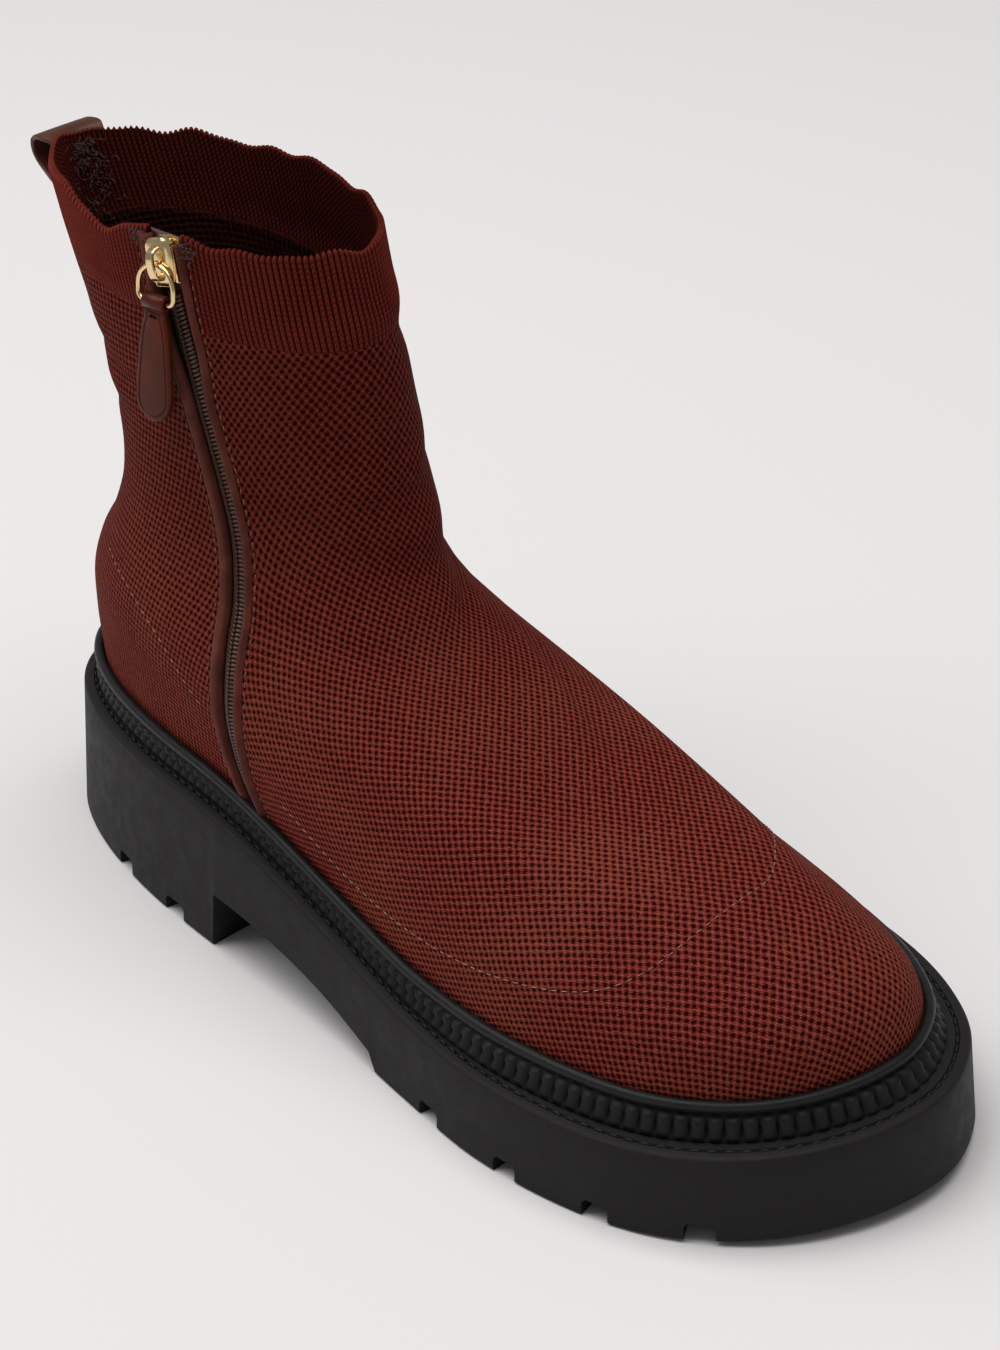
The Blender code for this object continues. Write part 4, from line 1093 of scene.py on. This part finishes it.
def make_slider():
    """Gold slider: two shaped plates, its wedge and a bail over the top."""
    floor = -WALL
    top = floor + SLIDER_THICK
    shield = rounded_outline([(-0.0030, -0.0057), (0.0030, -0.0057), (0.0043, 0.0006), (0.0043, 0.0044),
                              (0.0026, 0.0060), (-0.0026, 0.0060), (-0.0043, 0.0044), (-0.0043, 0.0006)], 0.0011)
    plate = block(shield, (top - 0.0017, top - 0.0004, top, top + 0.0003), (0.0, 0.0, 0.00045, 0.0012))
    skirt = block(shield, (floor + 0.0001, floor + 0.0008, floor + 0.0011), (0.0003, 0.0, 0.0006))
    wedge = rounded_outline([(-0.0012, -0.0010), (0.0012, -0.0010), (0.0022, 0.0052), (-0.0022, 0.0052)], 0.0007)
    middle = block(wedge, (floor + 0.0006, top - 0.0006), (0.0, 0.0))
    flanges = []
    for side in (-1, 1):
        flange = rounded_outline([(side * 0.0038 - 0.0005, -0.0048), (side * 0.0038 + 0.0005, -0.0048),
                                  (side * 0.0040 + 0.0005, 0.0040), (side * 0.0040 - 0.0005, 0.0040)], 0.0004)
        flanges.append(block(flange, (top - 0.0024, top - 0.0008), (0.0, 0.0)))
    crown = top + BAIL_OPENING
    path = curve_through([(-0.0036, top - 0.0003), (-0.0034, top + 0.0014), (-0.0024, crown + 0.0002),
                          (0.0, crown + 0.0005), (0.0024, crown + 0.0002), (0.0034, top + 0.0014),
                          (0.0037, top - 0.0003)], 33)
    bail = ribbon(path, 0.0024, 0.0009, 0.0)
    points, faces = many([placed(part, SLIDER) for part in (plate, skirt, middle, *flanges, bail)])
    return add_mesh("slider_body", points, faces, GOLD, nodes=["zip_slider"], sharp=40)


def ring_path():
    """D-shaped path of the ring below its pivot."""
    half = RING_WIDTH / 2
    path = [(half * math.cos(t), -half + half * math.sin(t)) for t in np.linspace(0, math.pi, 33)]
    low = -RING_LENGTH + RING_CORNER
    for start, centre in ((math.pi, -half + RING_CORNER), (1.5 * math.pi, half - RING_CORNER)):
        for turn in np.linspace(start, start + math.pi / 2, 9):
            path.append((centre + RING_CORNER * math.cos(turn), low + RING_CORNER * math.sin(turn)))
    return path


def make_ring():
    """Wire ring through the bail."""
    path = np.array(ring_path())
    ahead = unit(np.roll(path, -1, axis=0) - np.roll(path, 1, axis=0))
    grid = []
    for point, along in zip(path, ahead):
        grid.append([(point[0] + RING_WIRE * along[1] * math.cos(t), point[1] - RING_WIRE * along[0] * math.cos(t),
                      RING_WIRE * math.sin(t)) for t in np.linspace(0, 2 * math.pi, 13)[:-1]])
    grid = placed(np.array(grid), RING_FRAME)
    return add_mesh("ring_wire", grid.reshape(-1, 3), loft_faces(*grid.shape[:2], wrap_rows=True), GOLD,
                    body="ring", nodes=["zip_ring"])


def make_tab():
    """Leather tab with a pressed line inside its edge, folded round the ring's bar."""
    half = TAB_WIDTH / 2
    centre = -TAB_LENGTH + half
    right = curve_through([(TAB_NECK / 2 - 0.0001, -0.0040), (0.375 * TAB_WIDTH, 0.30 * centre),
                           (0.44 * TAB_WIDTH, 0.55 * centre), (0.48 * TAB_WIDTH, 0.78 * centre), (half, centre)], 30)
    arc = np.array([(half * math.cos(t), centre + half * math.sin(t)) for t in np.linspace(0, -math.pi, 33)[1:-1]])
    left = right[::-1] * (-1, 1)
    neck = right[0, 0]
    turns = np.linspace(math.pi, 0, 31)[1:-1]
    top = np.array([(neck * math.copysign(abs(math.cos(t)) ** 0.5, math.cos(t)),
                     right[0, 1] + 0.0029 * math.sin(t) ** 0.5) for t in turns])
    outline = np.concatenate([right, arc, left, top])[::-1]
    h = TAB_THICK / 2
    heights = (-h, -h, -h + 0.0003, h - 0.0003, h, h, h - 0.00022, h - 0.00022, h, h + 0.00012)
    insets = (0.0014, 0.0003, 0.0, 0.0, 0.0003, 0.0009, 0.00105, 0.00125, 0.0014, 0.0026)
    body = block(outline, heights, insets)
    tube = []
    outer = TAB_BORE + 0.0009
    for x in (-0.5, -0.46, 0.46, 0.5):
        size = outer - (0.0003 if abs(x) == 0.5 else 0.0)
        loop = [(x * TAB_NECK, size * math.cos(t), size * math.sin(t)) for t in np.linspace(0, 2 * math.pi, 25)[:-1]]
        tube.append(loop)
    hole = [[(x, TAB_BORE * math.cos(t), TAB_BORE * math.sin(t)) for t in np.linspace(0, 2 * math.pi, 25)[:-1]]
            for x in (0.5 * TAB_NECK, -0.5 * TAB_NECK)]
    tube = np.array(tube + hole)
    points, faces = many([placed(body, TAB_FRAME)])
    start = len(points)
    rows, columns = tube.shape[:2]
    faces += loft_faces(rows, columns, wrap_rows=True, start=start)
    points = np.concatenate([points, placed(tube, TAB_FRAME).reshape(-1, 3)])
    return add_mesh("tab_leather", points, faces, TAB_LEATHER, body="tab", nodes=["pull_tab"], sharp=50)


# ---- loop and strip ----

def heel_row(place, reaches):
    """Points across the back seam: distances to the outer side are positive."""
    inner = ring_side(place, MEDIAL)
    outer = ring_side(place, LATERAL)
    points = []
    for reach in reaches:
        line = outer if reach > 0 else inner
        points.append(along_side(line, np.array([abs(reach)]))[0])
    return np.array(points)


def heel_frame(z, reaches):
    """Points and plan normals across the back seam at a height."""
    place = at_height(z, MEDIAL, 0.0)
    points = heel_row(place, reaches)
    tangent = np.gradient(points, axis=0)
    plan = unit(np.stack([-tangent[:, 1], tangent[:, 0], np.zeros(len(points))], axis=1))
    points[:, 2] = z
    return points, plan


def make_loop():
    """Leather pull loop, straight where it stands off the collar."""
    rim = at_rim()
    path = np.array([(fold.out, rim + fold.rise * LOOP_LEG) for fold in LOOP_FOLD])
    line = curve_through(path, 71)
    ahead = unit(np.gradient(line, axis=0))
    away = np.stack([ahead[:, 1], -ahead[:, 0]], axis=1)
    reaches = np.linspace(-LOOP_WIDTH / 2, LOOP_WIDTH / 2, 13)
    middle = len(reaches) // 2
    half = LOOP_THICK / 2
    grid = []
    for (out, z), off in zip(line, away):
        rows = []
        for step, trim in ((half, 0.0), (-half, 0.0)):
            d, height = out + off[0] * step, z + off[1] * step
            base, plan = heel_frame(min(height, rim), reaches)
            across = np.array([-plan[middle, 1], plan[middle, 0], 0.0])
            straight = base[middle] + ((base - base[middle]) @ across)[:, None] * across
            share = ease(d / LOOP_STAND)
            row = (base + plan * d) * (1 - share) + (straight + plan[middle] * d) * share
            row[:, 2] = height
            rows.append(row)
        grid.append(np.concatenate([rows[0], rows[1][::-1]]))
    grid = np.array(grid)
    item = add_mesh("loop_leather", grid.reshape(-1, 3), loft_faces(*grid.shape[:2]), LEATHER,
                    nodes=["pull_loop"], sharp=50)
    return bevel(item, 0.00032)


def at_rim():
    """Height of the rim at the back seam."""
    return float(ring_side(TOP, MEDIAL)[0][2])


def make_strip():
    """Thin leather strip over the back seam."""
    reaches = np.linspace(-STRIP_WIDTH / 2 + 2 * GAP, STRIP_WIDTH / 2 - 2 * GAP, 7)
    grid = []
    for z in np.linspace(at_rim() - LOOP_LEG - 2 * GAP, STRIP_END_Z, 60):
        base, plan = heel_frame(z, reaches)
        crown = 1 - 0.35 * (reaches / reaches[-1])[:, None] ** 2
        top = base + plan * (GAP + STRIP_THICK * crown)
        grid.append(np.concatenate([top, (base + plan * GAP)[::-1]]))
    grid = np.array(grid)
    item = add_mesh("strip_leather", grid.reshape(-1, 3), loft_faces(*grid.shape[:2]), LEATHER,
                    nodes=["back_strip"], sharp=50)
    return bevel(item, 0.0002)


# ---- rand ----

RAND_PITCH = 0.0036
RAND_SIDES = 8
RAND_RIB = 0.00135


def foot_ring(place, shares):
    """Closed ring at a row: shares 0 to 1 run from the heel by the inner side to the toe and back."""
    inner = ring_side(place, MEDIAL)
    outer = ring_side(place, LATERAL)
    loop = np.concatenate([inner, outer[::-1][1:]])
    run = run_along(loop)
    return np.stack([np.interp(shares * run[-1], run, loop[:, k]) for k in range(3)], axis=1), run[-1]


def make_rand():
    """Rubber rand: upright ribs below a round bead."""
    length = foot_ring(0, np.array([0.0]))[1]
    ribs = int(round(length / RAND_PITCH))
    count = ribs * RAND_SIDES
    shares = np.arange(count) / count
    low = foot_ring(0, shares)[0]
    high = foot_ring(1, shares)[0]
    tangent = np.roll(low, -1, axis=0) - np.roll(low, 1, axis=0)
    plan = unit(np.stack([-tangent[:, 1], tangent[:, 0], np.zeros(count)], axis=1))
    plan *= np.sign(plan[count // 2, 0])
    foot = RAND_FOOT_HEEL + (RAND_FOOT_TOE - RAND_FOOT_HEEL) * ease((low[:, 0] / LENGTH - 0.35) / 0.6)
    phase = np.arange(count) / RAND_SIDES
    wave = np.abs(np.cos(math.pi * phase)) ** 0.7
    rib = RAND_RIB * (1 - wave) * (0.8 + 0.2 * ease((low[:, 0] / LENGTH - 0.2) / 0.4))
    bead = 0.00150
    bead_z = RAND_HEIGHT - bead
    slope = foot - 0.0016
    profile = [(np.full(count, GAP), 0.0), (foot - 0.0002, 0.0), (foot - 0.5 * rib, 0.0006),
               (foot - rib, 0.0016), (0.72 * slope + 0.28 * foot - rib, 0.0030),
               (0.45 * foot + 0.55 * 0.0019 - 0.9 * rib + 0.0006, 0.0044), (0.0024 + 0.15 * foot - 0.8 * rib, 0.0052),
               (np.full(count, 0.0017), 0.0059)]
    for turn in np.radians((-55, -25, 0, 30, 60, 90, 125)):
        profile.append((np.full(count, 0.0014 + bead * math.cos(turn)), bead_z + bead * math.sin(turn)))
    profile.append((np.full(count, GAP), RAND_HEIGHT - 0.0009))
    rise = high[:, 2] - low[:, 2]
    loops = []
    for out, height in profile:
        point = low + (high - low) * (height / rise)[:, None] + plan * np.maximum(out, GAP)[:, None]
        point[:, 2] = np.maximum(low[:, 2], sole_top(point[:, 0]) + GAP) + height
        loops.append(point)
    grid = np.transpose(np.array(loops), (1, 0, 2))
    return add_mesh("rand_ribbed", grid.reshape(-1, 3), loft_faces(*grid.shape[:2], wrap_rows=True), RAND_RUBBER,
                    nodes=["rand"], sharp=70)


# ---- sole ----

STATIONS = 240
WELT_GROOVE = 0.0026      # sole's edge to the stitched groove


def stations():
    """Places along the sole, doubled at the breast and the first lug."""
    run = 0.0008
    steps = [HEEL_LENGTH, HEEL_LENGTH + run, FORE_START - run, FORE_START]
    turns = np.linspace(0.0, math.pi, STATIONS)
    free = [x for x in LENGTH * (1 - np.cos(turns)) / 2 if min(abs(x - s) for s in steps) > 1.2 * run]
    return np.array(sorted(free + steps))


def edge_loop(xs, inset):
    """Closed loop of the sole's top edge drawn in: inner side heel to toe, then outer side back."""
    sides = []
    for side in (MEDIAL, LATERAL):
        turn = np.arccos(np.clip(1 - 2 * xs / LENGTH, -1, 1))
        x0, y0 = edge_curve(side, np.zeros(4 * SIDE_SAMPLES))
        x1, y1 = edge_curve(side, np.full(4 * SIDE_SAMPLES, inset))
        dense = np.linspace(0, math.pi, 4 * SIDE_SAMPLES)
        sides.append(np.stack([np.interp(turn, dense, x1), np.interp(turn, dense, y1)], axis=1))
    return np.concatenate([sides[0], sides[1][::-1][1:-1]])


def spread(loop, share):
    """Edge loop spread by the flare, by a share of it."""
    along = loop[:, 0] / LENGTH
    flare = FLARE_HEEL + (FLARE_TOE - FLARE_HEEL) * ease((along - 0.2) / 0.3)
    along = np.clip(along, 0, 1)
    x = loop[:, 0] + share * (FLARE_TOE * along ** 8 - FLARE_HEEL * (1 - along) ** 8)
    y = loop[:, 1] * (1 + share * 2 * flare / BALL_WIDTH)
    return np.stack([x, y], axis=1)


def tread_cutter():
    """All grooves of the tread as one cutter."""
    points, faces = [], []

    def box(centre, inward, width, length, top):
        across = np.array([-inward[1], inward[0]])
        start = len(points)
        for z, grow in ((-LUG_DEPTH, 1.0), (top - 0.0012, 1.0), (top, 0.72)):
            for u, v in ((-1, 0), (1, 0), (1, 1), (-1, 1)):
                reach = length if grow == 1.0 else length - 0.0010
                plan = centre + across * u * grow * width / 2 + inward * v * reach
                points.append((plan[0], plan[1], z))
        for low in (start, start + 4):
            for k in range(4):
                after = (k + 1) % 4
                faces.append((low + k, low + after, low + 4 + after, low + 4 + k))
        faces.append(tuple(range(start, start + 4)))
        faces.append(tuple(range(start + 8, start + 12)))

    def foot_at(x, side):
        turn = math.acos(1 - 2 * x / LENGTH)
        return spread(np.array([[x, side * float(half_width(turn, side))]]), 1.0)[0]

    outside = 0.006
    for groove in GROOVES:
        x = groove.along * LENGTH
        for side in (MEDIAL, LATERAL):
            along = unit(foot_at(x + groove.width / 2, side) - foot_at(x - groove.width / 2, side))
            inward = np.array([along[1], -along[0]]) * side
            start = foot_at(x, side) - inward * outside
            box(start, inward, groove.width, groove.reach + outside, underside(x) + LUG_DEPTH)
    for bar in BARS:
        x = bar.along * LENGTH
        start = np.array([x, -bar.half_length])
        box(start, np.array([0.0, 1.0]), BAR_WIDTH, 2 * bar.half_length, underside(x) + LUG_DEPTH)
    mesh = bpy.data.meshes.new("tread_cutter")
    mesh.from_pydata((np.array(points) + SHIFT).tolist(), [], faces)
    work = bmesh.new()
    work.from_mesh(mesh)
    bmesh.ops.recalc_face_normals(work, faces=work.faces)
    work.to_mesh(mesh)
    work.free()
    item = bpy.data.objects.new("tread_cutter", mesh)
    bpy.context.collection.objects.link(item)
    return item


def make_sole():
    """Sole with its stitched ledge, rounded edges and cut tread."""
    xs = stations()
    count = len(xs)
    base = edge_loop(xs, 0.0)
    top_z = sole_top(base[:, 0])
    under_z = np.array([underside(x) for x in base[:, 0]])
    profile = []
    deep = 0.0006
    for inset, drop in ((0.0090, 0.0), (WELT_GROOVE + 0.0011, 0.0), (WELT_GROOVE + 0.0008, deep),
                        (WELT_GROOVE + 0.0003, deep), (WELT_GROOVE, 0.0), (0.0009, 0.0), (0.0003, 0.0003)):
        loop = edge_loop(xs, inset)
        profile.append(np.column_stack([loop, sole_top(base[:, 0]) - drop]))
    for share in (0.0, 0.25, 0.5, 0.75, 1.0):
        height = (top_z - 0.0009) * (1 - share) + (under_z + 0.0006) * share
        loop = spread(base, share)
        profile.append(np.column_stack([loop, height]))
    loop = spread(edge_loop(xs, 0.0005), 1.0)
    profile.append(np.column_stack([loop, under_z]))
    grid = np.array(profile)
    rows, columns = grid.shape[:2]
    faces = []
    for r in range(rows - 1):
        for c in range(columns):
            after = (c + 1) % columns
            faces.append((r * columns + c, r * columns + after, (r + 1) * columns + after, (r + 1) * columns + c))
    for start in (0, (rows - 1) * columns):
        pairs = [(start + k, start + (columns - k) % columns) for k in range(1, count - 1)]
        faces.append((start, pairs[0][0], pairs[0][1]))
        for (a, b), (c, d) in zip(pairs, pairs[1:]):
            faces.append((a, c, d, b))
        faces.append((pairs[-1][0], start + count - 1, pairs[-1][1]))
    item = add_mesh("sole_lugged", grid.reshape(-1, 3), faces, RUBBER, nodes=["outsole"])
    cutter = tread_cutter()
    change = item.modifiers.new("tread", "BOOLEAN")
    change.object = cutter
    change.operation = "DIFFERENCE"
    change.solver = "EXACT"
    bpy.context.view_layer.update()
    made = bpy.data.meshes.new_from_object(item.evaluated_get(bpy.context.evaluated_depsgraph_get()))
    item.modifiers.clear()
    item.data = made
    bpy.data.objects.remove(cutter)
    made.materials.clear()
    made.materials.append(RUBBER)
    made.shade_smooth()
    made.set_sharp_from_angle(angle=math.radians(38))
    return item


def capsule(start, end, up, width, height):
    """Rounded stitch between two points on a surface, as a loft."""
    along = unit(end - start)
    side = unit(np.cross(along, up))
    rings = []
    for share, size in ((0.0, 0.3), (0.12, 0.85), (0.5, 1.0), (0.88, 0.85), (1.0, 0.3)):
        centre = start + (end - start) * share + up * height * (0.15 + 0.35 * math.sin(math.pi * share))
        rings.append([centre + size * (side * width / 2 * math.cos(t) + up * height / 2 * math.sin(t))
                      for t in np.linspace(0, 2 * math.pi, 7)[:-1]])
    return np.array(rings)


def dashes(line, normals, length, gap, width, height):
    """Row of stitches along a line."""
    run = np.concatenate([[0.0], np.cumsum(np.linalg.norm(np.diff(line, axis=0), axis=1))])

    def at(distance, values):
        return np.array([np.interp(distance, run, values[:, k]) for k in range(3)])

    parts = []
    for distance in np.arange(0.0, run[-1] - length, length + gap):
        parts.append(capsule(at(distance, line), at(distance + length, line),
                             unit(at(distance + length / 2, normals)), width, height))
    return parts


def make_welt_stitches():
    """Embossed stitches in the ledge's groove."""
    xs = stations()
    loop = edge_loop(xs, WELT_GROOVE + 0.00055)
    closed = np.concatenate([loop, loop[:1]])
    line = np.column_stack([closed, sole_top(closed[:, 0]) - 0.0006])
    up = np.tile([0.0, 0.0, 1.0], (len(line), 1))
    points, faces = many(dashes(line, up, 0.0027, 0.0011, 0.0008, 0.0011))
    return add_mesh("welt_stitches", points, faces, RAND_RUBBER)


# ---- stitches on the knit ----

CAMERA_AT = Vector((0.4889, -0.4425, 0.4564))
CAMERA_AZ = math.radians(46.98)
CAMERA_EL = math.radians(29.79)
CAMERA_ROLL = math.radians(-2.91)
FOCAL_PX = 3190.0
PHOTO_SIZE = (1000, 1350)


def camera_axes():
    """Right, up and back of the camera."""
    back = Vector((math.sin(CAMERA_AZ) * math.cos(CAMERA_EL), -math.cos(CAMERA_AZ) * math.cos(CAMERA_EL),
                   math.sin(CAMERA_EL)))
    right = Vector((math.cos(CAMERA_AZ), math.sin(CAMERA_AZ), 0))
    up = back.cross(right)
    turned = right * math.cos(CAMERA_ROLL) + up * math.sin(CAMERA_ROLL)
    return turned, -right * math.sin(CAMERA_ROLL) + up * math.cos(CAMERA_ROLL), back


def on_knit(tree, pixels):
    """Places on the knit, in the row's frame, that the camera sees at these pixels."""
    right, up, back = camera_axes()
    found = []
    for px, py in pixels:
        ray = right * (px - PHOTO_SIZE[0] / 2) - up * (py - PHOTO_SIZE[1] / 2) - back * FOCAL_PX
        place = tree.ray_cast(CAMERA_AT, ray.normalized())[0]
        if place is not None:
            found.append(place)
    return found


def surface_line(tree, points, count=260):
    """Smooth line through points, laid on the knit, with its normals."""
    line = curve_through([tuple(p) for p in points], count)
    places, normals = [], []
    for point in line:
        place, normal, _, _ = tree.find_nearest(Vector(point))
        places.append(place)
        normals.append(normal)
    return np.array(places), np.array(normals)


VAMP_LINE = [(283, 806), (350, 880), (430, 945), (550, 990), (640, 975), (740, 900), (775, 850)]
HEEL_LINE = [(110, 548), (130, 590), (160, 640), (190, 690), (206, 712)]


def skin_tree(grid):
    """Search tree of the knit's outer skin in the row's frame."""
    rows, columns = grid.shape[:2]
    faces = [(r * columns + c, r * columns + c + 1, (r + 1) * columns + c + 1, (r + 1) * columns + c)
             for r in range(rows - 1) for c in range(columns - 1)]
    return BVHTree.FromPolygons((grid.reshape(-1, 3) + SHIFT).tolist(), faces)


def make_knit_stitches(skin):
    """Pale stitch lines that show through the knit over the toe puff and the counter."""
    tree = skin_tree(skin)
    seen = on_knit(tree, VAMP_LINE)
    shift = Vector(SHIFT)
    mirrored = []
    for place in seen[2::-1]:
        mirrored.append(Vector((place.x, -place.y + 2 * shift.y, place.z)))
    line, normals = surface_line(tree, seen + mirrored)
    parts = dashes(line, normals, 0.0015, 0.0012, 0.00022, 0.00026)
    heel = on_knit(tree, HEEL_LINE)
    line, normals = surface_line(tree, heel, 120)
    parts += dashes(line, normals, 0.0012, 0.0019, 0.00024, 0.00026)
    points, faces = many(parts)
    add_mesh("knit_stitches", points, faces, THREAD, shift=np.zeros(3))
    parts = []
    for side in (1, -1):
        rows = np.linspace(0.95, TOP - 0.1, 200)
        line, normals = [], []
        for place in rows:
            across = side * (slot_half(place) + edge_width(place, side) + 0.0006)
            line.append(medial_at(place, across)[0])
            normals.append(zip_normal(place, across)[0])
        parts += dashes(np.array(line), np.array(normals), 0.0013, 0.0013, 0.00036, 0.00040)
    points, faces = many(parts)
    add_mesh("edge_stitches", points, faces, RIB_THREAD)


def loose_thread(start, reach, out):
    """One short curled thread end."""
    way = Vector([random.uniform(-1, 1) for _ in range(3)]) + Vector(out) * 0.8
    end = start + np.array(way.normalized()) * reach
    return capsule(start, end, unit(np.array(way.orthogonal())), 0.00022, 0.00022)


def make_fuzz():
    """Loose thread ends: on the rim beside the zip and inside the back seam."""
    parts = []
    for side in (1, -1):
        for _ in range(46):
            across = side * (slot_half(TOP) + random.uniform(0.0, 0.0050))
            start = medial_at(TOP - random.uniform(0.0, 0.16), across)[0] + zip_normal(TOP, across)[0] * 0.0006
            parts.append(loose_thread(start, random.uniform(0.0008, 0.0022), zip_normal(TOP, across)[0]))
    for _ in range(230):
        spread_out = random.gauss(0.0, 0.0026)
        drop = abs(random.gauss(0.0, 0.0075))
        base, plan = heel_frame(at_rim() - 0.001 - drop, np.array([-0.004, spread_out, 0.0041]))
        start = base[1] - plan[1] * (WALL + 0.0004)
        parts.append(loose_thread(start, random.uniform(0.0008, 0.0024), -plan[1]))
    points, faces = many(parts)
    add_mesh("thread_ends", points, faces, FUZZ)


def make_insole():
    """Footbed inside the upper."""
    medial = foot_outline(MEDIAL, WALL + INSOLE_EASE)
    lateral = foot_outline(LATERAL, WALL + INSOLE_EASE)
    grid = []
    for turn in np.linspace(0.12, math.pi - 0.12, 60):
        x = medial[0, 0] + (medial[-1, 0] - medial[0, 0]) * (1 - math.cos(turn)) / 2
        pair = [np.interp(x, side[:, 0], side[:, 1]) for side in (medial, lateral)]
        y = np.linspace(pair[0], pair[1], 9)
        low = np.column_stack([np.full(9, x), y, np.full(9, sole_top(x) + GAP)])
        edge = np.array([0.0010, 0.0002, 0, 0, 0, 0, 0, 0.0002, 0.0010])
        high = low + np.column_stack([np.zeros(9), np.zeros(9), INSOLE_THICK - edge])
        grid.append(np.concatenate([high, low[::-1]]))
    grid = np.array(grid)
    return add_mesh("footbed", grid.reshape(-1, 3), loft_faces(*grid.shape[:2]), FOOTBED,
                    nodes=["insole"], sharp=50)


# ---- room ----

def make_room():
    """Pale floor and soft light."""
    mesh = bpy.data.meshes.new("floor")
    size = 6.0
    mesh.from_pydata([(-size, -size, 0), (size, -size, 0), (size, size, 0), (-size, size, 0)], [], [(0, 1, 2, 3)])
    floor = bpy.data.objects.new("floor", mesh)
    bpy.context.collection.objects.link(floor)
    look = Look("floor", (0.80, 0.785, 0.78), 0.75)
    look.shader.inputs["Specular IOR Level"].default_value = 0.2
    mesh.materials.append(look.material)
    world = bpy.data.worlds.new("studio")
    world.use_nodes = True
    world.node_tree.nodes["Background"].inputs[0].default_value = (1.0, 0.99, 0.985, 1)
    world.node_tree.nodes["Background"].inputs[1].default_value = 0.24
    bpy.context.scene.world = world
    lights = (("key", (-0.95, -0.60, 1.95), 1.9, 27.0), ("top", (0.20, 0.10, 2.1), 1.6, 23.0))
    for name, place, width, power in lights:
        lamp = bpy.data.lights.new(name, "AREA")
        lamp.shape = "SQUARE"
        lamp.size = width
        lamp.energy = power
        item = bpy.data.objects.new(name, lamp)
        item.location = place
        item.rotation_euler = (Vector((0, 0, 0.06)) - Vector(place)).to_track_quat("-Z", "Y").to_euler()
        bpy.context.collection.objects.link(item)


def make_camera():
    """Camera at the photograph's view."""
    right, up, back = camera_axes()
    data = bpy.data.cameras.new("camera")
    data.sensor_width = 36.0
    data.lens = FOCAL_PX * 36.0 / PHOTO_SIZE[1]
    data.clip_start = 0.05
    item = bpy.data.objects.new("camera", data)
    item.matrix_world = Matrix.Translation(CAMERA_AT) @ Matrix((right, up, back)).transposed().to_4x4()
    bpy.context.collection.objects.link(item)
    bpy.context.scene.camera = item


make_camera()
make_room()
knit_skin = make_body()
make_band()
make_zip()
make_slider()
make_ring()
make_tab()
make_loop()
make_strip()
make_rand()
make_sole()
make_welt_stitches()
make_knit_stitches(knit_skin)
make_fuzz()
make_insole()
bpy.context.scene.view_settings.view_transform = "Standard"
